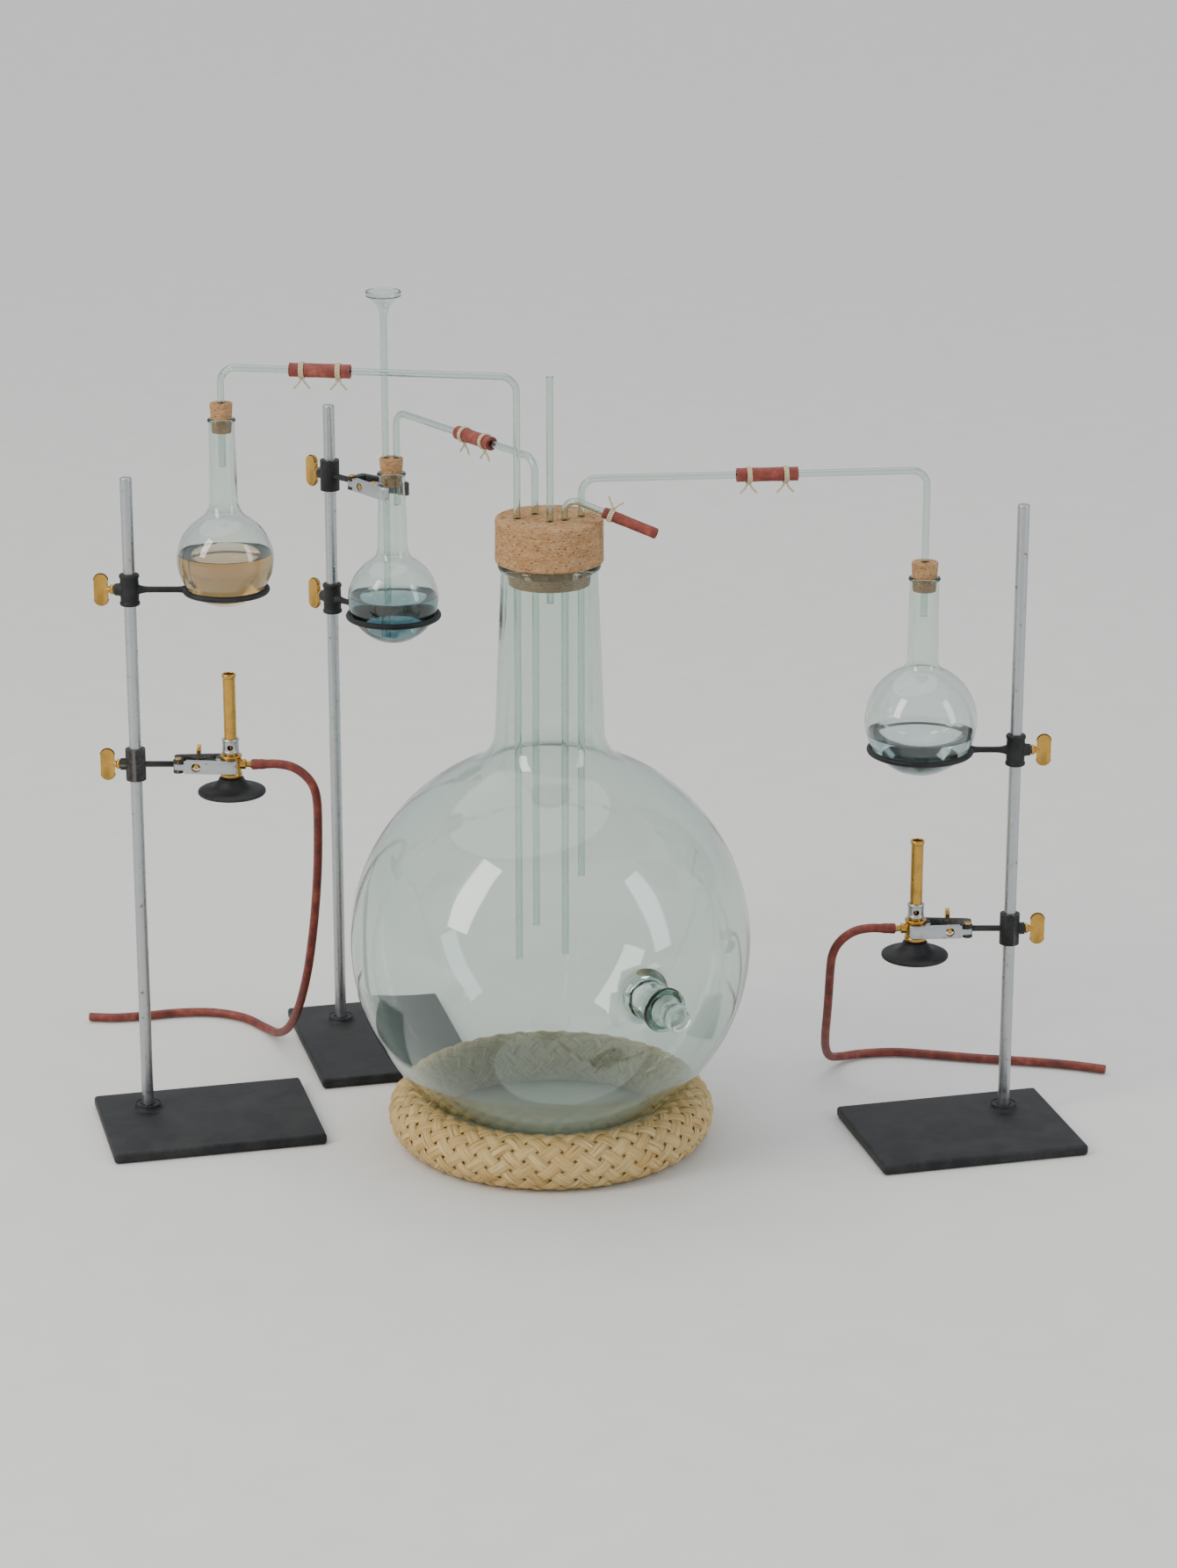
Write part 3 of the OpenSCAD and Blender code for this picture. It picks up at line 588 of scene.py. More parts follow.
@dataclass(frozen=True)
class TwistedCotton(Finish):
    """Unbleached cotton string: soft and matt, two plies that twist round each other."""

    def detail(self, made: bpy.types.Material, shader: Any) -> None:
        """Slanting plies 2 mm apart along the string, with painted shade in the grooves between them."""
        uv = add_node(made, "ShaderNodeTexCoord").outputs["UV"]
        slant = add_node(made, "ShaderNodeMapping", {
            "Vector": uv, "Rotation": (0.0, 0.0, 0.35), "Scale": (1.0, per(2.0), 1.0)})
        plies = add_node(made, "ShaderNodeTexWave", {
            "Vector": slant.outputs["Vector"], "Scale": 0.32, "Distortion": 1.2},
            bands_direction="Y")
        # Dark in the troughs of the ply waves, where the bump is lowest: painted shade in the grooves
        # between the plies; the light end is the string's own colour.
        tone = add_node(made, "ShaderNodeValToRGB", {"Fac": plies.outputs["Fac"]},
                        stops=[(0.0, "#9C8A66"), (0.6, "#DCCFAE")])
        made.node_tree.links.new(tone.outputs["Color"], shader["Base Color"])
        self.bump(made, shader, plies.outputs["Fac"], 0.4)


@dataclass(frozen=True)
class StoveEnamel(Finish):
    """Black stove enamel on cast iron: satin, slightly pebbled, dusty, worn to grey on edges."""

    def detail(self, made: bpy.types.Material, shader: Any) -> None:
        """A 2.5 mm pebble, dust in 30 mm clouds, and wear where the casting's edges stand out."""
        coords = add_node(made, "ShaderNodeTexCoord").outputs["Object"]
        pebble = add_node(made, "ShaderNodeTexNoise", {"Vector": coords, "Scale": per(2.5),
                                                       "Detail": 4.0, "Roughness": 0.6})
        dust = add_node(made, "ShaderNodeTexNoise", {"Vector": coords, "Scale": per(30),
                                                     "Detail": 6.0, "Roughness": 0.65})
        tone = add_node(made, "ShaderNodeValToRGB", {"Fac": dust.outputs["Fac"]},
                        stops=[(0.4, self.base), (0.85, "#3A3B3A")])
        edge = add_node(made, "ShaderNodeNewGeometry").outputs["Pointiness"]
        proud = add_node(made, "ShaderNodeMath", {0: edge, 1: 6.0, 2: pebble.outputs["Fac"]},
                         operation="MULTIPLY_ADD")
        worn = add_node(made, "ShaderNodeMapRange", {
            "Value": proud.outputs["Value"], "From Min": 3.85, "From Max": 4.3})
        mixed = add_node(made, "ShaderNodeMix", {
            "Factor": worn.outputs["Result"], "A": tone.outputs["Color"], "B": colour("#5C5852")},
            data_type="RGBA")
        made.node_tree.links.new(mixed.outputs["Result"], shader["Base Color"])
        rough = add_node(made, "ShaderNodeMapRange", {
            "Value": dust.outputs["Fac"], "To Min": self.roughness - 0.08,
            "To Max": self.roughness + 0.3})
        made.node_tree.links.new(rough.outputs["Result"], shader["Roughness"])
        self.bump(made, shader, pebble.outputs["Fac"], 0.22)


@dataclass(frozen=True)
class DrawnSteel(Finish):
    """Bright drawn steel: fine lines along the bar, brown rust freckles, some handling haze."""

    def detail(self, made: bpy.types.Material, shader: Any) -> None:
        """Draw lines 0.6 mm apart along the length, and freckles of rust of 2 to 6 mm."""
        coords = add_node(made, "ShaderNodeTexCoord").outputs["Object"]
        long = add_node(made, "ShaderNodeMapping", {"Vector": coords, "Scale": (1.0, 1.0, 0.02)})
        lines = add_node(made, "ShaderNodeTexNoise", {
            "Vector": long.outputs["Vector"], "Scale": per(0.9), "Detail": 3.0})
        rust = add_node(made, "ShaderNodeTexNoise", {
            "Vector": coords, "Scale": per(9), "Detail": 8.0, "Roughness": 0.72})
        spots = add_node(made, "ShaderNodeMapRange", {
            "Value": rust.outputs["Fac"], "From Min": 0.6, "From Max": 0.68})
        mixed = add_node(made, "ShaderNodeMix", {
            "Factor": spots.outputs["Result"], "A": colour(self.base), "B": colour("#6E4A30")},
            data_type="RGBA")
        made.node_tree.links.new(mixed.outputs["Result"], shader["Base Color"])
        bare = add_node(made, "ShaderNodeMapRange", {
            "Value": spots.outputs["Result"], "To Min": 1.0, "To Max": 0.25})
        made.node_tree.links.new(bare.outputs["Result"], shader["Metallic"])
        rough = add_node(made, "ShaderNodeMapRange", {
            "Value": rust.outputs["Fac"], "From Min": 0.3, "From Max": 0.7,
            "To Min": self.roughness - 0.06, "To Max": self.roughness + 0.25})
        made.node_tree.links.new(rough.outputs["Result"], shader["Roughness"])
        self.bump(made, shader, lines.outputs["Fac"], 0.03)


@dataclass(frozen=True)
class TurnedBrass(Finish):
    """Lacquered brass off the lathe: fine rings, and brown tarnish where the lacquer has gone."""

    tarnish: str = "#8A6430"

    def detail(self, made: bpy.types.Material, shader: Any) -> None:
        """Turning rings 0.8 mm apart, and tarnish in clouds of about 14 mm."""
        coords = add_node(made, "ShaderNodeTexCoord").outputs["Object"]
        squat = add_node(made, "ShaderNodeMapping", {"Vector": coords, "Scale": (0.05, 0.05, 1.0)})
        rings = add_node(made, "ShaderNodeTexNoise", {
            "Vector": squat.outputs["Vector"], "Scale": per(1.2), "Detail": 2.0})
        cloud = add_node(made, "ShaderNodeTexNoise", {
            "Vector": coords, "Scale": per(14), "Detail": 6.0, "Roughness": 0.62})
        stain = add_node(made, "ShaderNodeMapRange", {
            "Value": cloud.outputs["Fac"], "From Min": 0.5, "From Max": 1.05})
        mixed = add_node(made, "ShaderNodeMix", {
            "Factor": stain.outputs["Result"], "A": colour(self.base), "B": colour(self.tarnish)},
            data_type="RGBA")
        made.node_tree.links.new(mixed.outputs["Result"], shader["Base Color"])
        rough = add_node(made, "ShaderNodeMapRange", {
            "Value": cloud.outputs["Fac"], "From Min": 0.3, "From Max": 0.7,
            "To Min": self.roughness - 0.06, "To Max": self.roughness + 0.2})
        made.node_tree.links.new(rough.outputs["Result"], shader["Roughness"])
        self.bump(made, shader, rings.outputs["Fac"], 0.04)


@dataclass(frozen=True)
class PaintedBench(Finish):
    """The studio floor: pale matt paint with a barely visible grain."""

    def detail(self, made: bpy.types.Material, shader: Any) -> None:
        """A faint mottle of about 60 mm."""
        coords = add_node(made, "ShaderNodeTexCoord").outputs["Object"]
        mottle = add_node(made, "ShaderNodeTexNoise", {"Vector": coords, "Scale": per(60),
                                                       "Detail": 3.0})
        tone = add_node(made, "ShaderNodeValToRGB", {"Fac": mottle.outputs["Fac"]},
                        stops=[(0.2, "#D9D8D4"), (0.8, "#DEDDD9")])
        made.node_tree.links.new(tone.outputs["Color"], shader["Base Color"])


# Old soda glass is a little green where it is thick; its rims and edges read darker.
GLOBE_GLASS = BlownGlass("blown soda glass", "glass", base="#FBFEFC", roughness=0.0, ior=1.5,
                         transmission=1.0, wave=70.0, depth=0.5, density=60.0)
# Lamp-blown hard glass: thinner and clearer than the globe.
FLASK_GLASS = BlownGlass("lamp-blown hard glass", "glass", base="#FDFFFE", roughness=0.0, ior=1.47,
                         transmission=1.0, wave=22.0, depth=0.15, density=110.0)
# Drawn tube: clear, with bright lines along it.
TUBE_GLASS = BlownGlass("drawn glass tube", "glass", base="#FAFEFC", roughness=0.0, ior=1.5,
                        transmission=1.0, wave=30.0, depth=0.05, density=190.0)
# Ground plug: the grinding frosts it.
GROUND_GLASS = BlownGlass("ground glass", "glass", base="#F6FBF9", roughness=0.16, ior=1.5,
                          transmission=1.0, wave=1.2, depth=0.06, density=8.0)
CORK = CutCork("cut bark cork", "cork", base="#B98450", roughness=0.86, ior=1.45)
RED_RUBBER = NaturalRubber("red vulcanised rubber", "rubber", base="#86382A", roughness=0.52,
                           ior=1.52)
HOSE_RUBBER = NaturalRubber("red rubber gas hose", "rubber", base="#7A3024", roughness=0.48,
                            ior=1.52, dark="#521B12", bloom="#99553F")
STRAW = PlaitedStraw("plaited rye straw", "straw", base="#C8A45C", roughness=0.55, ior=1.5)
STRING = TwistedCotton("twisted cotton string", "string", base="#D9CBA8", roughness=0.9, ior=1.5)
ENAMEL = StoveEnamel("black stove enamel", "painted_iron", base="#151618", roughness=0.45, ior=1.38)
STEEL = DrawnSteel("bright drawn steel", "steel", base="#B4B8BB", roughness=0.26, metallic=1.0)
BRASS = TurnedBrass("turned brass", "brass", base="#C49A4E", roughness=0.22, metallic=1.0)
# Strong acid is faintly amber, copper nitrate is blue-green, and the third flask holds water.
AMBER_ACID = Liquid("amber acid", "glass", base="#FFFDF6", roughness=0.0, ior=1.4,
                    transmission=1.0, body="#E6BE5E", density=24.0)
COPPER_SOLUTION = Liquid("copper nitrate solution", "glass", base="#F8FFFF", roughness=0.0,
                         ior=1.35, transmission=1.0, body="#3FA6B4", density=26.0)
WATER = Liquid("water", "glass", base="#FAFEFF", roughness=0.0, ior=1.333, transmission=1.0,
               body="#B6D2DE", density=5.0)
FLOOR = PaintedBench("pale bench paint", "", base="#DCDBD7", roughness=0.9)


# ------------------------------------------------------------------ handing a piece over


def body_of(node: str) -> str:
    """The body that a frame node rides on."""
    for body, nodes in frame["record"]["behaviour"]["bodies"].items():
        if node in nodes:
            return body
    raise KeyError(node)


def hand_over(piece: Piece, finish: Finish, nodes: Sequence[str], stands_for: bool = True) -> Piece:
    """Dress a piece, put it on its body and hide the nodes that it stands for.

    Args:
        piece: The finished piece.
        finish: Its finish.
        nodes: The frame nodes that it stands for, or that share its body.
        stands_for: Whether it replaces the nodes.

    Returns:
        The piece.
    """
    piece.data.materials.clear()
    piece.data.materials.append(finish.material())
    for face in piece.data.polygons:
        face.material_index = 0
    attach(piece, body_of(nodes[0]))
    if stands_for:
        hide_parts(*nodes)
    LOG.info("%s: %d faces, %s", piece.name, len(piece.data.polygons), finish.name)
    return piece


# ------------------------------------------------------------------ studio


@dataclass
class Studio:
    """The floor, the lights and the camera."""

    aim: Corner = (6.0, -62.0, 372.0)
    elevation: float = 18.0
    distance: float = 4.0
    lens: float = 93.0
    floor_r: float = 40.0

    def camera(self) -> None:
        """A level camera in front of the apparatus, looking a little down."""
        lift = math.radians(self.elevation)
        data = bpy.data.cameras.new("camera")
        data.lens = self.lens
        data.clip_end = 200.0
        eye = bpy.data.objects.new("camera", data)
        bpy.context.scene.collection.objects.link(eye)
        back = Vector((0.0, -math.cos(lift), math.sin(lift)))
        eye.location = Vector(self.aim) * MM + back * self.distance
        eye.rotation_euler = (math.pi / 2 - lift, 0.0, 0.0)
        bpy.context.scene.camera = eye

    def floor(self) -> None:
        """A pale floor that runs out past the frame on all sides."""
        bpy.ops.object.select_all(action="DESELECT")
        bpy.ops.mesh.primitive_circle_add(vertices=64, radius=self.floor_r, fill_type="NGON",
                                          location=(0, 0, -0.0004))
        piece = started("studio_floor")
        settled(piece)
        piece.data.materials.append(FLOOR.material())

    def light(self, name: str, where: Corner, size: Point, power: float, tint: str) -> None:
        """A soft light that faces the apparatus; place and size in metres, power in watts."""
        data = bpy.data.lights.new(name, "AREA")
        data.shape, data.energy = "RECTANGLE", power
        data.size, data.size_y = size
        data.color = colour(tint)[:3]
        lamp = bpy.data.objects.new(name, data)
        bpy.context.scene.collection.objects.link(lamp)
        lamp.location = where
        aim = Vector(self.aim) * MM - Vector(where)
        lamp.rotation_euler = aim.to_track_quat("-Z", "Y").to_euler()

    def sky(self) -> None:
        """A broad overhead light, the same over all the floor, and a dim grey surround."""
        data = bpy.data.lights.new("overhead", "SUN")
        data.energy, data.angle = 1.25, math.radians(70)
        lamp = bpy.data.objects.new("overhead", data)
        lamp.rotation_euler = (math.radians(-14), math.radians(-10), 0.0)
        bpy.context.scene.collection.objects.link(lamp)
        world = bpy.data.worlds.new("surround")
        world.use_nodes = True
        back = world.node_tree.nodes["Background"]
        back.inputs["Color"].default_value = colour("#DCE0E4")
        back.inputs["Strength"].default_value = 0.9
        bpy.context.scene.world = world

    def build(self) -> None:
        """Make the floor and the lights."""
        self.floor()
        self.light("key", (-3.2, -2.2, 2.9), (1.2, 3.2), 120.0, "#FFF7EC")
        self.light("fill", (3.6, -1.6, 1.9), (0.9, 3.0), 45.0, "#EEF4FF")
        self.sky()


# ------------------------------------------------------------------ gas hoses


@dataclass
class GasHose:
    """A rubber hose that hangs from a burner's nipple and runs away along the bench."""

    side: Side
    route: list[Corner]
    length: float
    start: Corner
    end: Corner
    radius: float = 4.5
    bore: float = 2.7
    over: float = 15.0

    def centre_line(self) -> list[Vector]:
        """The smooth line through the route's points, in metres."""
        points = [Vector(p) * MM for p in self.route]
        line: list[Vector] = []
        for k in range(len(points) - 1):
            a, b = points[max(k - 1, 0)], points[k]
            c, d = points[k + 1], points[min(k + 2, len(points) - 1)]
            for s in range(8):
                t = s / 8
                line.append(0.5 * (2 * b + (c - a) * t + (2 * a - 5 * b + 4 * c - d) * t * t
                                   + (3 * b - a - 3 * c + d) * t ** 3))
        return line + [points[-1]]

    def build(self) -> Piece:
        """The hose, stretched over the nipple's barbs at one end and cut square at the other."""
        line = self.centre_line()
        into = (line[0] - line[1]).normalized()
        head = [line[0] + into * d * MM for d in (self.over, self.over - 0.7, 11.0, 8.0, 5.0, 2.5)]
        swell = [4.7, 5.25, 5.3, 5.0, 5.2, 4.9]
        lip = [(head[0] + -into * 6 * MM, 4.0), (head[0], 4.0)]
        stations = lip + list(zip(head, swell)) + [(p, self.radius) for p in line[:-1]]
        way = (line[-1] - line[-2]).normalized()
        stations += [(line[-1] - way * 0.5 * MM, self.radius), (line[-1], self.radius - 0.4),
                     (line[-1] - way * 0.02 * MM, self.bore), (line[-1] - way * 14 * MM, self.bore)]
        piece = swept(f"{self.side.value}_gas_hose_rubber", stations, sides=20)
        piece.data.materials.append(HOSE_RUBBER.material())
        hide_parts(f"{self.side.value}_gas_hose")
        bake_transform(piece)
        LOG.info("%s: %.3f m of hose", piece.name, self.length)
        return piece


LEFT_ROUTE = [
    (-314.6, -22, 380), (-304, -22, 380), (-291, -22, 377.5), (-280, -21.5, 371), (-271.5, -20, 361),
    (-267, -16, 348), (-266, -7, 329), (-267, 7, 300), (-269, 22, 260), (-273, 39, 214),
    (-279, 59, 165), (-287, 83, 117), (-298, 112, 71), (-311, 145, 35), (-326, 181, 13),
    (-343, 216, 5), (-368, 245, 5), (-402, 261, 5), (-439, 261, 5), (-475, 252, 5),
    (-508, 246, 5), (-537, 248, 5),
]
RIGHT_ROUTE = [
    (300.6, -22, 206), (290, -22, 206), (277, -22, 203.5), (266, -21.5, 197), (257.5, -20, 187),
    (253, -16, 174), (252, -7, 157), (252, 5, 137), (252, 18, 114), (252, 35, 88),
    (252, 55, 61), (254, 78, 37), (260, 102, 18), (273, 125, 8), (298, 141, 5),
    (333, 145, 5), (372, 138, 5), (412, 129, 5), (451, 122, 5), (488, 115, 5),
    (520, 107, 5), (550, 96, 5),
]


# ------------------------------------------------------------------ glass


@dataclass
class BlownFlask:
    """A globe with a long neck, a soft shoulder and a beaded rim, all one wall."""

    x: float
    y: float
    z: float
    r: float
    foot: float
    mouth: float
    shoulder: float
    rim: float
    wall: float = 1.6
    bead: float = 2.0
    steps: int = 72

    @property
    def where(self) -> Matrix:
        """The frame at the globe's centre."""
        return place(self.x, self.y, self.z)

    def outline(self) -> list[Point]:
        """The cut through the wall: up the outside, over the bead, and down the inside."""
        top = self.rim - self.z
        rise = math.sqrt((self.r + self.shoulder) ** 2 - (self.foot + self.shoulder) ** 2)
        lean = math.degrees(math.atan2(rise, self.foot + self.shoulder))
        out, inside = self.foot + self.shoulder, self.shoulder + self.wall
        inner = self.r - self.wall
        points = arc(0, 0, self.r, -90, lean, 48)
        points += arc(out, rise, self.shoulder, lean + 180, 180, 14)[1:]
        bead = arc(self.mouth, top - self.bead, self.bead, -72, 90, 10)
        foot, collar = Vector(points[-1]), Vector(bead[0])
        # Loops near both ends of the straight neck keep its shading true.
        points += [tuple(foot.lerp(collar, t)) for t in (0.03, 0.97)] + bead
        points += [(self.mouth - self.wall + 0.5, top), (self.mouth - self.wall, top - 0.6)]
        points += arc(out, rise, inside, 180, lean + 180, 14)
        points += arc(0, 0, inner, lean, -90, 48)[1:]
        return [(max(r, 0.0), z) for r, z in points]

    def glass(self, name: str) -> Piece:
        """The empty flask."""
        return lathe(name, self.outline(), self.where, self.steps)

    def liquid(self, name: str, level: float) -> Piece:
        """What fills it up to a height above the bench, with a meniscus at the wall."""
        inner = self.r - self.wall + 0.12
        high = level - self.z
        lean = math.degrees(math.asin((high + 1.3) / inner))
        edge = inner * math.cos(math.radians(lean))
        points = arc(0, 0, inner, -90, lean, 40)
        points += [(edge - 0.5, high + 0.7), (edge - 1.4, high + 0.2), (edge - 3.0, high), (0, high)]
        return lathe(name, [(max(r, 0.0), z) for r, z in points], self.where, self.steps)


@dataclass
class Globe:
    """The big flask with its side neck, five-hole stopper and straw ring."""

    flask: BlownFlask = field(default_factory=lambda: BlownFlask(
        -32, -62, 208.35, 200, 54, 46, 40, 600, wall=4.0, bead=4.5, steps=112))
    bearing: float = -63.0
    dip: float = -2.0
    neck_r: float = 19.0
    neck_wall: float = 3.5
    neck_len: float = 46.0
    flare: float = 24.0
    sink: float = 3.0
    holes: tuple[Point, ...] = ((-31, -4), (-14, 15), (31, 5), (1, -16), (15, -10))

    @property
    def side_axis(self) -> Matrix:
        """The frame of the side neck, with +Z out along it from the globe's centre."""
        flask = self.flask
        return place(flask.x, flask.y, flask.z, self.bearing, 90 + self.dip)

    def glass(self) -> None:
        """The globe, with its side neck fused on and opened."""
        r, out = self.flask.r, self.flask.r + self.neck_len
        wide = self.neck_r + self.flare
        rise = math.sqrt((r + self.flare) ** 2 - wide ** 2) - self.sink
        globe = self.flask.glass("globe_glass")
        outline = [(0, r - 12.0), (wide - 6, r - 12.0), (wide - 6, rise - self.flare + 0.78)]
        outline += arc(wide, rise, self.flare, 255, 180, 16)
        outline += arc(self.neck_r, out - 3.2, 3.2, -80, 90, 10) + [(0, out)]
        neck = lathe("side_neck", outline, self.side_axis, 72)
        core = lathe("core", arc(0, 0, r - 2, -90, 90, 48), self.flask.where, 112)
        combine(neck, [core], Boolean.CUT)
        combine(globe, [neck])
        bore = drill(self.side_axis @ place(0, 0, r - 20), self.neck_r - self.neck_wall, 80, 64)
        combine(globe, [bore], Boolean.CUT)
        smooth(globe, 32)
        hand_over(globe, GLOBE_GLASS, ["globe_flask"])

    def side_stopper(self) -> None:
        """The ground glass stopper: tapered plug, waist and a thick flat-topped knob."""
        outline = rounded([(0, -28, 0), (13.3, -28, 0.8), (15.3, 2, 0.6), (15.3, 3, 0.4),
                           (9.5, 7, 2.0), (9.5, 13, 1.6), (11, 15, 1.0), (14, 18, 2.0),
                           (14, 25, 2.4), (11, 28, 1.6), (0, 27.4, 0)])
        axis = self.side_axis @ place(0, 0, self.flask.r + self.neck_len)
        hand_over(lathe("side_stopper_glass", outline, axis, 48), GROUND_GLASS,
                  ["tubulure_stopper"])

    def stopper(self) -> None:
        """The cork: a head that overhangs the neck, a tapered plug and five bored holes."""
        flask = self.flask
        outline = rounded([(0, -22, 0), (39.3, -22, 1.2), (41.8, -0.05, 0.0), (50.5, 0.05, 0),
                           (53, 0.05, 1.8), (52.6, 33, 0.8), (51.9, 34, 0.6), (52.6, 35, 0.8),
                           (53, 43, 3.2), (0, 43, 0)])
        cork = lathe("globe_cork", outline, place(flask.x, flask.y, flask.rim), 96)
        drills = [drill(place(flask.x + x, flask.y + y, flask.rim - 24), TUBE_R + 0.06, 70)
                  for x, y in self.holes]
        combine(cork, drills, Boolean.CUT)
        hand_over(smooth(cork, 35), CORK, ["globe_bung"])

    def straw_ring(self, ring_r: float = 137.0, rope_r: float = 28.0, rope_z: float = 26.0,
                   strands: int = 8, turns: int = 5) -> None:
        """A rope of flat straw plaits, eight each way, over and under, round a straw core."""
        parts: list[Piece] = []
        steps, rise, thick = 300, 1.5, 2.3
        x0, y0 = self.flask.x, self.flask.y
        for way in (1, -1):
            for strand in range(strands):
                stations, faces = [], []
                for k in range(steps):
                    t = math.tau * k / steps
                    around = way * turns * t + math.tau * strand / strands
                    r = rope_r - 0.15 - thick - rise
                    r += way * rise * math.cos(turns * strands * t)
                    out = Vector((math.cos(t) * math.cos(around), math.sin(t) * math.cos(around),
                                  math.sin(around)))
                    spot = Vector((x0 + ring_r * math.cos(t), y0 + ring_r * math.sin(t), rope_z))
                    stations.append(((spot + out * r) * MM, 6.1))
                    faces.append(out)
                parts.append(swept("strand", stations, 8, thick / 6.1, faces,
                                   shift=strand * 1.37 + way * 0.51, closed=True))
        core = [(Vector((x0 + ring_r * math.cos(math.tau * k / 96),
                         y0 + ring_r * math.sin(math.tau * k / 96), rope_z)) * MM, 22.5)
                for k in range(96)]
        parts.append(swept("core", core, 20, closed=True))
        piece = gathered("plaited_straw_ring", parts)
        for vertex in piece.data.vertices:
            vertex.co.z = max(vertex.co.z, 0.00015)
        hand_over(smooth(piece, 60), STRAW, ["straw_ring"])

    def build(self) -> None:
        """Make the globe's pieces."""
        self.glass()
        self.side_stopper()
        self.stopper()
        self.straw_ring()


def knot_and_wraps(where: Matrix, coil_r: float, string_r: float = 0.9, turns: int = 3,
                   down: float = 1.0) -> list[Piece]:
    """String wound round a tube along local +X, knotted on one side with two short tails.

    Args:
        where: The frame at the middle of the tie.
        coil_r: Radius of the string's centre line round the tube.
        string_r: Radius of the string.
        turns: Turns side by side.
        down: 1 puts the knot under the tube, -1 on top.

    Returns:
        The parts of the tie.
    """
    def at(x: float, y: float, z: float) -> Vector:
        return where @ (Vector((x, y, z * -down)) * MM)

    wrap = []
    for k in range(turns * 20 + 1):
        t = math.tau * k / 20
        x = (k / 20 - turns / 2) * 1.75 * string_r
        wrap.append((at(x, coil_r * math.sin(t), coil_r * math.cos(t)), string_r))
    parts = [swept("wrap", wrap, 8)]
    ball = []
    for k in range(36):
        t = math.tau * k / 36
        ball.append((at(0.62 * (math.sin(t) + 2 * math.sin(2 * t)), 0.55 * -math.sin(3 * t),
                        coil_r + 1.0 + 0.62 * (math.cos(t) - 2 * math.cos(2 * t))), string_r * 0.9))
    parts.append(swept("knot", ball, 8, closed=True))
    for side in (-1, 1):
        tail = [(at(side * (0.6 + 0.33 * k + 0.045 * k * k), 0.35 * math.sin(0.9 * k + side),
                    coil_r + 0.4 + 1.05 * k), string_r * (1.0 if k < 9 else 1.12))
                for k in range(11)]
        parts.append(swept("tail", tail, 8))
    return parts


@dataclass
class DeliveryLine:
    """A small flask's line to the globe: two bent glass tubes that meet in a rubber sleeve."""

    side: Side
    flask_end: Point
    globe_end: Point
    height: float
    flask_low: float
    globe_low: float
    share: float

    @property
    def length(self) -> float:
        """Plan distance between the two upright legs."""
        return math.dist(self.flask_end, self.globe_end)

    @property
    def bearing(self) -> float:
        """Bearing from the globe's end to the flask's end."""
        return math.degrees(math.atan2(self.flask_end[1] - self.globe_end[1],
                                       self.flask_end[0] - self.globe_end[0]))

    @property
    def middle(self) -> float:
        """The sleeve's middle, from the globe's end."""
        return self.share * self.length

    def tubes(self) -> None:
        """The two glass tubes."""
        name = self.side.value
        near = self.middle - SLEEVE_LEN / 2 + SLEEVE_LAP
        inlet = drawn_tube(f"{name}_inlet_glass", place(*self.globe_end, self.height, self.bearing),
                           self.height - self.globe_low, TUBE_BEND, near)
        hand_over(inlet, TUBE_GLASS, [f"{name}_inlet"])
        far = self.length - self.middle - SLEEVE_LEN / 2 + SLEEVE_LAP
        where = place(*self.flask_end, self.height, self.bearing + 180)
        out = drawn_tube(f"{name}_delivery_glass", where, self.height - self.flask_low,
                        TUBE_BEND, far)
        hand_over(out, TUBE_GLASS, [f"{name}_delivery"])

    def sleeve(self) -> Piece:
        """The rubber sleeve, nipped in under its two strings."""
        h = SLEEVE_LEN / 2
        outline = [(3.56, -h), (4.4, -h), (6.5, -h), (6.95, -h + 0.6)]
        for z in range(-28, 29, 1):
            nip = min(abs(abs(z) - 18) / 3.4, 1.0)
            swell = 0.22 * math.sin(math.pi * min(max((abs(z) - 6) / 12, 0), 1))
            outline.append((6.35 + 0.4 * nip * nip + swell, float(z)))
        outline += [(6.95, h - 0.6), (6.5, h), (3.56, h), (3.56, -h)]
        where = place(*self.globe_end, self.height, self.bearing) @ place(self.middle, 0, 0, 0, 90)
        return lathe("sleeve", outline, where, 36)

    def ties(self) -> list[Piece]:
        """The two string ties on the sleeve."""
        parts: list[Piece] = []
        for side in (-1, 1):
            where = place(*self.globe_end, self.height, self.bearing)
            parts += knot_and_wraps(where @ place(self.middle + side * 18, 0, 0), SLEEVE_R + 0.45)
        return parts


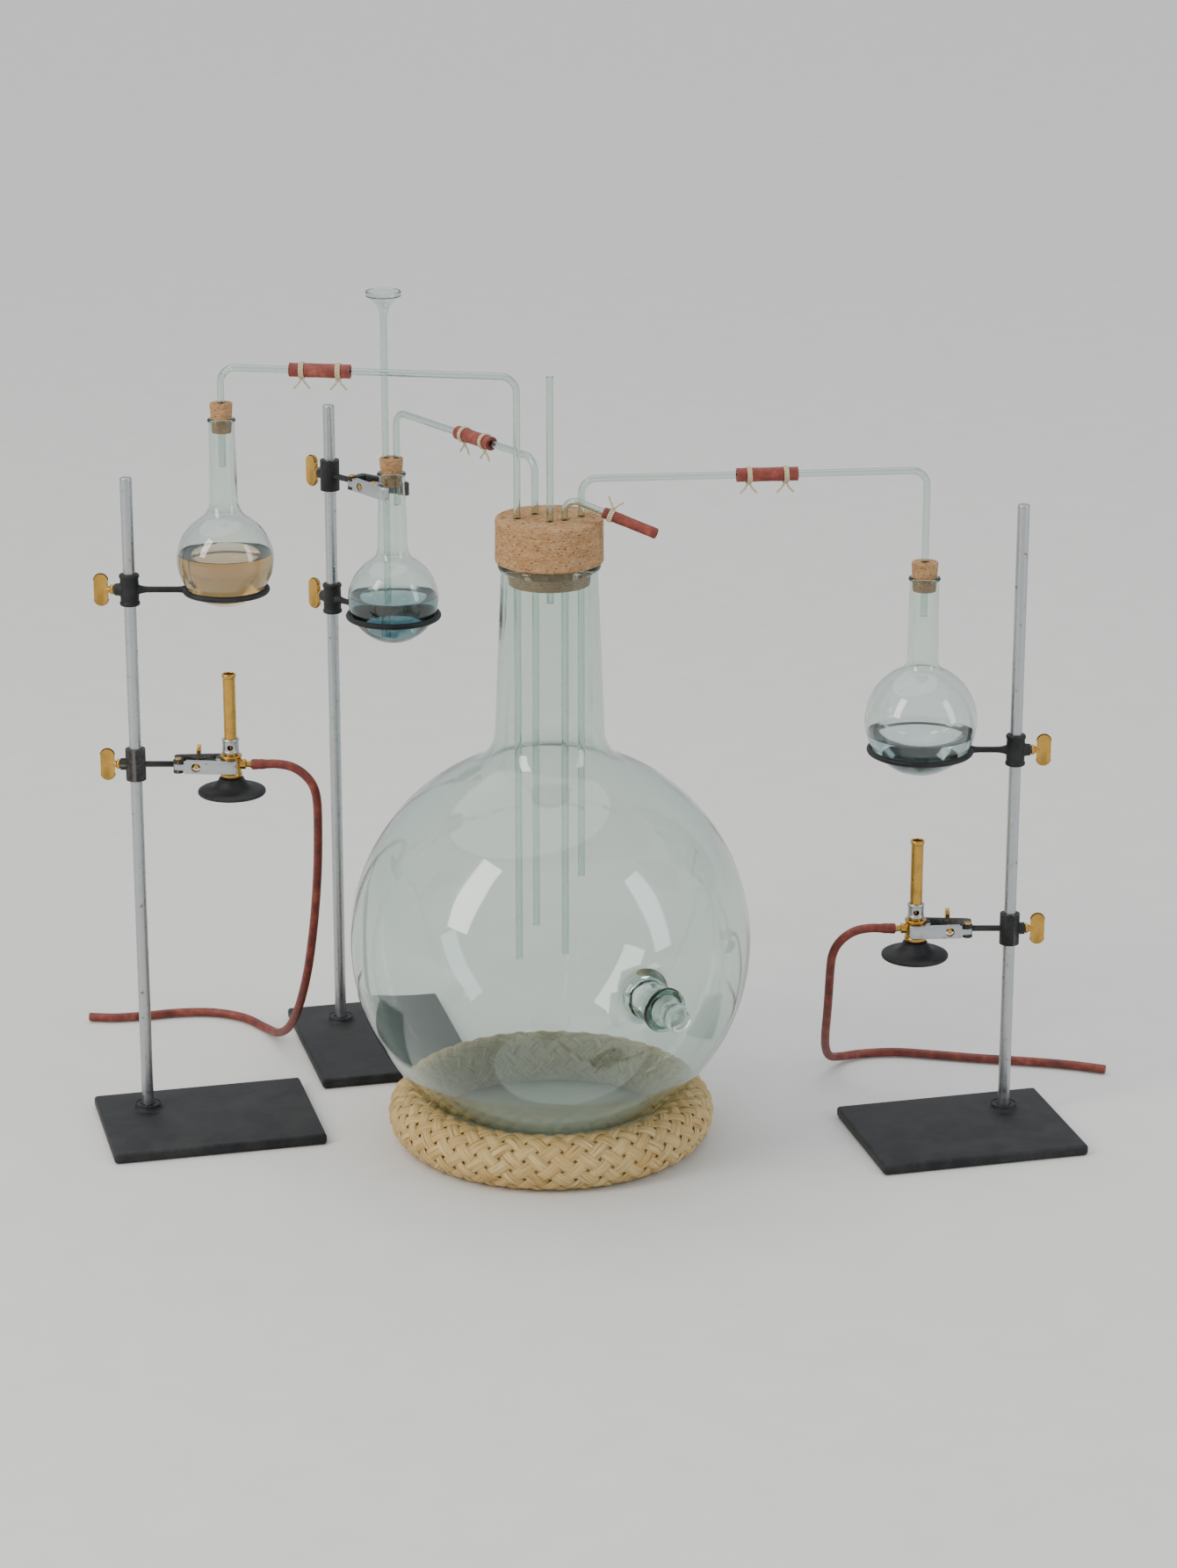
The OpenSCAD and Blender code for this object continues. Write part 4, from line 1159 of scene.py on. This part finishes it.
@dataclass
class TopTubes:
    """The air tube and the exhaust tube with its rubber tail."""

    air_at: Point = (-31.0, -78.0)
    air_top: float = 785.0
    air_length: float = 223.0
    exhaust_at: Point = (-17.0, -72.0)
    exhaust_top: float = 662.0
    exhaust_length: float = 464.0
    exhaust_bearing: float = -17.0
    bend: float = 11.0
    run: float = 57.0
    droop: float = 18.0
    tie_at: float = 34.0

    def build(self) -> None:
        """Make both tubes, the tail and its tie."""
        air = drawn_tube("air_tube_glass", place(*self.air_at, self.air_top), self.air_length, 0, 0)
        hand_over(air, TUBE_GLASS, ["air_tube"])
        where = place(*self.exhaust_at, self.exhaust_top, self.exhaust_bearing)
        tube = drawn_tube("exhaust_glass", where, self.exhaust_length,
                        self.bend, self.run, self.droop)
        hand_over(tube, TUBE_GLASS, ["exhaust_tube"])
        leg = where @ place(self.bend, 0, -self.bend, 0, self.droop) @ place(0, 0, self.bend)
        outline = [(3.56, 26), (4.6, 26), (5.1, 26.2), (5.45, 27.0), (5.45, 30), (5.1, 32.5),
                   (5.05, 34.5), (5.4, 37), (5.5, 44), (5.3, 47), (5.25, 60), (5.3, 80.8),
                   (5.1, 81.7), (4.7, 82), (3.1, 82), (3.0, 81.8), (3.0, 46.1), (3.56, 46), (3.56, 26)]
        tail = lathe("exhaust_rubber_tail", outline, leg @ place(0, 0, 0, 0, 90), 36)
        hand_over(tail, RED_RUBBER, ["exhaust_tail"])
        tie = gathered("exhaust_string",
                       knot_and_wraps(leg @ place(self.tie_at, 0, 0), 5.95, down=-1))
        hand_over(tie, STRING, ["exhaust_tie"])


@dataclass
class ThistleFunnel:
    """The long-stemmed funnel in the middle flask."""

    x: float = -200.4
    y: float = 156.8
    low: float = 472.0
    neck: float = 793.0

    def build(self) -> None:
        """One blown piece: stem, trumpet and a rolled rim."""
        outer = [(TUBE_R, self.low + 0.5)] + [
            (30.5 - 27 * math.cos(t), self.neck + 27 * math.sin(t))
            for t in [math.radians(62.4) * k / 12 for k in range(13)]]
        rim = arc(17.1, self.neck + 28.0, 0.9, 0, 180, 8)
        inner = [(30.4 - 28.2 * math.cos(t), self.neck + 28.2 * math.sin(t))
                 for t in [math.radians(61.0) * k / 12 for k in range(12, -1, -1)]]
        outline = [(TUBE_R - 0.5, self.low), *outer, *rim, *inner,
                   (TUBE_BORE, self.low + 0.4), (TUBE_BORE + 0.4, self.low),
                   (TUBE_R - 0.5, self.low)]
        piece = lathe("thistle_glass", outline, place(self.x, self.y, 0), 40)
        hand_over(piece, TUBE_GLASS, ["thistle_funnel"])


# ------------------------------------------------------------------ stands


@dataclass
class Thumbscrew:
    """A brass thumbscrew: threaded shank, shoulder and a dished oval paddle."""

    width: float = 14.0
    height: float = 32.0
    thick: float = 4.5
    rod_to_head: float = 21.0

    def paddle(self, where: Matrix) -> Piece:
        """The flat head, in the local XZ plane and centred on the frame."""
        width, thick = self.width, self.thick
        bpy.ops.object.select_all(action="DESELECT")
        bpy.ops.mesh.primitive_circle_add(vertices=40, radius=width / 2 * MM, fill_type="NGON",
                                          rotation=(math.pi / 2, 0, 0))
        piece = started("paddle")
        bpy.ops.object.mode_set(mode="OBJECT")
        bpy.ops.object.transform_apply(location=True, rotation=True, scale=True)
        reach = (self.height - width) / 2 * MM
        for vertex in piece.data.vertices:
            vertex.co.z += math.copysign(reach, vertex.co.z) if abs(vertex.co.z) > 1e-7 else 0.0
            vertex.co.y = -thick / 2 * MM
        only(piece)
        bpy.ops.object.mode_set(mode="EDIT")
        bpy.ops.mesh.select_all(action="SELECT")
        bpy.ops.mesh.extrude_region_move(TRANSFORM_OT_translate={"value": (0, thick * MM, 0)})
        bpy.ops.mesh.select_all(action="SELECT")
        bpy.ops.mesh.normals_make_consistent(inside=False)
        bpy.ops.object.mode_set(mode="OBJECT")
        for face in piece.data.polygons:
            face.select = abs(face.normal.y) > 0.9
        bpy.ops.object.mode_set(mode="EDIT")
        bpy.ops.mesh.select_mode(type="FACE")
        bpy.ops.mesh.inset(thickness=0.15 * width * MM, depth=0.0, use_individual=True)
        bpy.ops.mesh.inset(thickness=0.07 * width * MM, depth=-0.14 * thick * MM,
                           use_individual=True)
        bpy.ops.mesh.select_mode(type="VERT")
        bpy.ops.object.mode_set(mode="OBJECT")
        modify(piece, "BEVEL", width=0.2 * thick * MM, segments=3, limit_method="ANGLE",
               angle_limit=math.radians(50))
        return settled(piece, where)

    def build(self, name: str, where: Matrix, node: str) -> Piece:
        """The screw of a boss, in its stand's frame, pointing to the rod."""
        outline = rounded([(0, 14.0, 0), (3, 14.0, 0.3), (3, 5.6, 0), (5, 5.2, 0.5), (5, 2.8, 0.7),
                           (3.2, 1.6, 0.4), (2.6, -3, 0), (0, -3, 0)])
        shank = lathe(name, outline, where @ place(-self.rod_to_head, 0, 0, 0, 90), 32)
        head = self.paddle(where @ place(-self.rod_to_head - self.width / 2, 0, 0))
        return hand_over(smooth(gathered(name, [shank, head]), 40), BRASS, [node])


@dataclass
class Stand:
    """A retort stand: base plate, rod, ring with its flask, and the bosses on the rod."""

    side: Side
    rod: Point
    bearing: float
    top: float
    plate_low: Point
    plate_high: Point
    ring_z: float
    flask: BlownFlask
    level: float
    liquid: Finish
    screws: tuple[tuple[str, float], ...]
    stopper_holes: tuple[float, ...] = (0.0,)
    reach: float = 95.0
    yaw: float = 14.0
    plate: float = 11.0
    corner: float = 3.5
    rod_r: float = 6.0

    def where(self, z: float) -> Matrix:
        """The stand's frame at a height: rod on the origin, flask at +X."""
        return place(*self.rod, z, self.bearing)

    def base(self) -> None:
        """A cast plate with rounded corners, and a filleted seat round the rod."""
        (x0, y0), (x1, y1) = self.plate_low, self.plate_high
        bpy.ops.object.select_all(action="DESELECT")
        bpy.ops.mesh.primitive_cube_add(size=1, location=(
            (x0 + x1) / 2 * MM, (y0 + y1) / 2 * MM, self.plate / 2 * MM), scale=(
            (x1 - x0) * MM, (y1 - y0) * MM, self.plate * MM))
        plate = settled(bpy.context.object)
        only(plate)
        for edge in plate.data.edges:
            a, b = (plate.data.vertices[k].co for k in edge.vertices)
            edge.select = abs(a.z - b.z) > 0.001
        bpy.ops.object.mode_set(mode="EDIT")
        bpy.ops.mesh.select_mode(type="EDGE")
        bpy.ops.mesh.bevel(offset=self.corner * MM, segments=5)
        bpy.ops.mesh.select_mode(type="VERT")
        bpy.ops.object.mode_set(mode="OBJECT")
        modify(plate, "BEVEL", width=1.5 * MM, segments=3, limit_method="ANGLE",
               angle_limit=math.radians(60))
        where = place(*self.rod, 0, self.yaw)
        settled(plate, where)
        outline = [(0, 9), *arc(17.5, 16, 5.0, -90, -180, 6), *rounded(
            [(12.5, 15, 0), (12.5, 15.5, 0.4), (10.5, 15.5, 0.8), (7.4, 15.5, 0.5), (7.0, 14.6, 0)]),
            (0, 14.6)]
        seat = lathe("seat", outline, where, 48)
        combine(plate, [seat])
        combine(plate, [drill(place(*self.rod, -1), self.rod_r + 0.05, 30, 48)], Boolean.CUT)
        plate.name = f"{self.side.value}_base_casting"
        hand_over(smooth(plate, 35), ENAMEL, [f"{self.side.value}_base"])

    def rod_piece(self) -> None:
        """The rod, with a turned dome on top."""
        top, r, dome = self.top, self.rod_r, 1.6
        outline = [(0, 0.3), (r - 0.6, 0.3), (r, 0.9), (r, top - 4),
                   *arc(r - dome, top - dome, dome, 0, 90, 6), (0, top)]
        piece = lathe(f"{self.side.value}_rod_steel", outline, place(*self.rod, 0), 40)
        hand_over(piece, STEEL, [f"{self.side.value}_rod"])

    def boss(self, z: float) -> list[Piece]:
        """The parts of a boss: a beaded sleeve on the rod and the lug of its thumbscrew."""
        outline = rounded([(6.1, -16, 0.5), (8.8, -16, 0.6), (10, -15, 0.8), (10, -12.6, 0.6),
                           (9.1, -11.6, 0.8), (9.4, 0, 4.0), (9.1, 11.6, 0.8), (10, 12.6, 0.6),
                           (10, 15, 0.8), (8.8, 16, 0.6), (6.1, 16, 0.5), (6.1, -16, 0)])
        sleeve = lathe("boss", outline, self.where(z), 48)
        lug = rounded([(3.06, 6.6, 0), (7.2, 6.6, 0), (6.2, 10.5, 2.0), (5.9, 14.3, 0.5), (5.3, 15, 0.4),
                       (3.06, 15, 0), (3.06, 6.6, 0)])
        return [sleeve, lathe("lug", lug, self.where(z) @ place(0, 0, 0, 0, -90), 36)]

    def ring(self) -> None:
        """The ring casting: boss, tapering arm and ring in one."""
        z, flask = self.ring_z, self.flask
        r = math.sqrt((flask.r + 3.1) ** 2 - (flask.z - z) ** 2)
        sleeve, lug = self.boss(z)
        end = self.reach - r
        outline = [(0, 8), (5.4, 8), (4.9, 9.4), (4.2, 11), (3.6, 13.5), (3.1, 17), (3.0, 22),
                   (3.0, end - 8), (3.3, end - 4), (4.0, end - 1.5), (4.0, end + 0.5), (0, end + 0.6)]
        arm = lathe("arm", outline, self.where(z) @ place(0, 0, 0, 0, 90), 28)
        bpy.ops.object.select_all(action="DESELECT")
        bpy.ops.mesh.primitive_torus_add(major_radius=r * MM, minor_radius=3 * MM,
                                         major_segments=96, minor_segments=20)
        hoop = settled(bpy.context.object, self.where(z) @ place(self.reach, 0, 0))
        combine(hoop, [arm])
        piece = combine(sleeve, [lug, hoop])
        piece.name = f"{self.side.value}_ring_casting"
        hand_over(smooth(piece, 42), ENAMEL, [f"{self.side.value}_ring"])

    def glassware(self) -> None:
        """The flask, its liquid and its stopper."""
        name, flask = self.side.value, self.flask
        hand_over(flask.glass(f"{name}_flask_glass"), FLASK_GLASS, [f"{name}_flask"])
        hand_over(flask.liquid(f"{name}_liquid", self.level), self.liquid, [f"{name}_flask"],
                  stands_for=False)
        seat = flask.mouth - flask.wall - 0.1
        outline = rounded([(0, -14, 0), (seat - 0.9, -14, 0.8), (seat, 0, 0), (seat + 0.97, 15, 1.1),
                           (0, 15, 0)])
        cork = lathe(f"{name}_cork", outline, place(flask.x, flask.y, flask.rim), 48)
        drills = [drill(place(flask.x + x, flask.y, flask.rim - 16), TUBE_R + 0.06, 33)
                  for x in self.stopper_holes]
        hand_over(smooth(combine(cork, drills, Boolean.CUT)), CORK, [f"{name}_stopper"])

    def build(self) -> None:
        """Make the stand's own pieces."""
        self.base()
        self.rod_piece()
        self.ring()
        self.glassware()
        for node, z in self.screws:
            Thumbscrew().build(f"{node}_brass", self.where(z), node)


@dataclass
class Clamp:
    """A two-fingered clamp on a rod, closed by a small thumbscrew."""

    prefix: str

    def build(self) -> None:
        """The casting, the moving finger, the pivot pin and the closing screw."""
        casting = trued_copy(f"{self.prefix}_clamp", f"{self.prefix}_clamp_casting", 0.7)
        hand_over(casting, ENAMEL, [f"{self.prefix}_clamp"])
        finger = trued_copy(f"{self.prefix}_jaw", f"{self.prefix}_jaw_finger", 0.7)
        hand_over(finger, STEEL, [f"{self.prefix}_jaw"])
        pin = trued_copy(f"{self.prefix}_jaw_pin", f"{self.prefix}_jaw_pivot", 0.4)
        hand_over(pin, BRASS, [f"{self.prefix}_jaw_pin"])
        screw = trued_copy(f"{self.prefix}_jaw_screw", f"{self.prefix}_jaw_screw_brass", 0.6)
        hand_over(screw, BRASS, [f"{self.prefix}_jaw_screw"])


@dataclass
class Burner:
    """A gas burner: iron foot, brass body with its nipple, tube and air collar."""

    side: Side
    x: float
    y: float
    z: float
    bearing: float

    @property
    def where(self) -> Matrix:
        """The burner's frame, with its nipple towards +X."""
        return place(self.x, self.y, self.z, self.bearing)

    def foot(self) -> None:
        """A round foot with a thin skirt, a hollow curve up to the stem and a collar on top."""
        outline = rounded([(6, 0, 0), (33.4, 0, 0.5), (34, 1.2, 0.6), (33.6, 3.2, 0.7), (31, 4.2, 1.0),
                           (30, 4.6, 0.3)], 3)
        outline += [(27, 5.0), (23, 5.6), (20, 6.6), (17.6, 8.2), (15.4, 10.6), (13.6, 13.2)]
        outline += rounded([(13.0, 13.8, 0), (12.6, 14.2, 0.2), (12.6, 15.6, 0.5), (11.6, 16, 0.4),
                            (5.06, 16, 0), (5.06, 8, 0), (5.0, 4, 0), (6, 4, 0), (6, 0, 0)], 3)
        hand_over(lathe(f"{self.side.value}_foot_casting", outline, self.where, 72), ENAMEL,
                  [f"{self.side.value}_burner_foot"])

    def body(self) -> None:
        """The turned block with two beads, the nipple with three barbs, and the jet."""
        outline = rounded([
            (0, 9, 0), (4.98, 9, 0.4), (4.98, 16.05, 0), (7.5, 16.05, 0.3), (7.5, 18, 0.4),
            (10.6, 18, 0.4), (11, 18.6, 0.3), (11, 21, 0.4), (10.3, 21.8, 0.4), (10.3, 38, 0.2),
            (11, 38.4, 0.3), (11, 39.6, 0.4), (10.4, 40, 0.3), (6.6, 40, 0), (6.3, 37, 0),
            (4.4, 37, 0), (4.4, 40, 0), (2.6, 40.2, 0), (1.6, 49, 0.3), (0, 49, 0)], 3)
        block = lathe(f"{self.side.value}_body_brass", outline, self.where, 56)
        nipple = [(0, 6), (5, 6), (5, 14.4), (4.4, 15), (3, 15.4), (3, 19)]
        for x in (19, 24, 29):
            nipple += [(4.0, x + 0.1), (3.9, x + 0.6), (3.0, x + 4.0)]
        nipple += [(3, 34.4), (2.6, 35), (1.8, 35), (1.8, 20), (0, 20)]
        pipe = lathe("nipple", nipple, self.where @ place(0, 0, 30, 0, 90), 32)
        hand_over(smooth(combine(block, [pipe]), 32), BRASS, [f"{self.side.value}_burner_body"])

    def chimney(self) -> None:
        """The mixing tube with its rim and two air holes, and the collar that turns on it."""
        side = self.side.value
        outline = rounded([(5, 36.2, 0), (6.25, 36.2, 0), (6.25, 119.4, 0.5), (7.0, 120.4, 0.5),
                           (7.0, 123.2, 0.5), (6.2, 124, 0.5), (5.4, 124, 0.3), (5, 123.4, 0.2),
                           (5, 36.2, 0)], 3)
        tube = lathe(f"{side}_tube_brass", outline, self.where, 48)
        hole = drill(self.where @ place(0, -10, 49) @ Matrix.Rotation(-math.pi / 2, 4, "X"), 3, 20)
        hand_over(smooth(combine(tube, [hole], Boolean.CUT), 35), BRASS, [f"{side}_burner_tube"])
        outline = rounded([(6.32, 42, 0), (8.0, 42, 0.3), (8.6, 42.8, 0.4), (8.6, 44.4, 0.3),
                           (8.1, 44.9, 0.3), (8.1, 54.1, 0.3), (8.6, 54.6, 0.3), (8.6, 56.2, 0.4),
                           (8.0, 57, 0.3), (6.32, 57, 0), (6.32, 42, 0)], 3)
        collar = lathe(f"{side}_collar_steel", outline, self.where, 48)
        hole = drill(self.where @ place(0, -12, 49) @ Matrix.Rotation(-math.pi / 2, 4, "X"), 3, 24)
        hand_over(smooth(combine(collar, [hole], Boolean.CUT), 35), STEEL,
                  [f"{side}_burner_collar"])

    def build(self) -> None:
        """Make the burner's pieces."""
        self.foot()
        self.body()
        self.chimney()


# ------------------------------------------------------------------ the whole apparatus


def stands() -> list[Stand]:
    """The three stands, with what hangs on each."""
    left = BlownFlask(-350, -22, 591, 47.5, 14, 12, 22, 732)
    lean = math.radians(-45)
    middle = BlownFlask(-262 + 95 * math.cos(lean), 224 + 95 * math.sin(lean), 502, 46.5, 15.5, 13,
                        18, 635)
    right = BlownFlask(336, -22, 426, 56, 15.5, 14, 12, 573)
    return [
        Stand(Side.LEFT, (-445, -22), 0, 673, (-50, -115), (165, 45), 560, left, 597, AMBER_ACID,
              (("left_ring_screw", 560), ("left_clamp_screw", 380))),
        Stand(Side.MIDDLE, (-262, 224), -45, 690, (-50, -165), (110, 50), 484, middle, 505,
              COPPER_SOLUTION, (("middle_ring_screw", 484), ("neck_clamp_screw", 616)),
              stopper_holes=(-5.6, 5.6)),
        Stand(Side.RIGHT, (431, -22), 180, 646, (-165, -115), (50, 45), 395, right, 413, WATER,
              (("right_ring_screw", 395), ("right_clamp_screw", 206))),
    ]


def lines(racks: Sequence[Stand]) -> list[DeliveryLine]:
    """The three delivery lines."""
    left, middle, right = (rack.flask for rack in racks)
    return [
        DeliveryLine(Side.LEFT, (left.x, left.y), (-63, -66), 782, 684, 190, 0.66),
        DeliveryLine(Side.MIDDLE, (middle.x + 5.6, middle.y), (-46, -47), 698, 601, 219, 0.42),
        DeliveryLine(Side.RIGHT, (right.x, right.y), (-1, -57), 680, 533, 275, 0.535),
    ]


def main() -> None:
    """Build the studio, the hoses and the apparatus, in that order."""
    logging.basicConfig(level=logging.INFO, format="%(message)s")
    studio = Studio()
    studio.camera()
    GasHose(Side.LEFT, LEFT_ROUTE, 0.737, (-268, -10, 340), (-300, 120, 60)).build()
    GasHose(Side.RIGHT, RIGHT_ROUTE, 0.595, (252, -8, 160), (258, 95, 25)).build()
    studio.build()
    Globe().build()
    racks = stands()
    runs = lines(racks)
    for run in runs:
        run.tubes()
    hand_over(gathered("rubber_sleeves_red", [run.sleeve() for run in runs]), RED_RUBBER,
              ["rubber_sleeves"])
    hand_over(gathered("sleeve_strings", [part for run in runs for part in run.ties()]), STRING,
              ["sleeve_ties"])
    TopTubes().build()
    ThistleFunnel().build()
    for rack in racks:
        rack.build()
    for prefix in ("left", "neck", "right"):
        Clamp(prefix).build()
    Burner(Side.LEFT, -350, -22, 350, 0).build()
    Burner(Side.RIGHT, 336, -22, 176, 180).build()


if __name__ == "__main__":
    main()
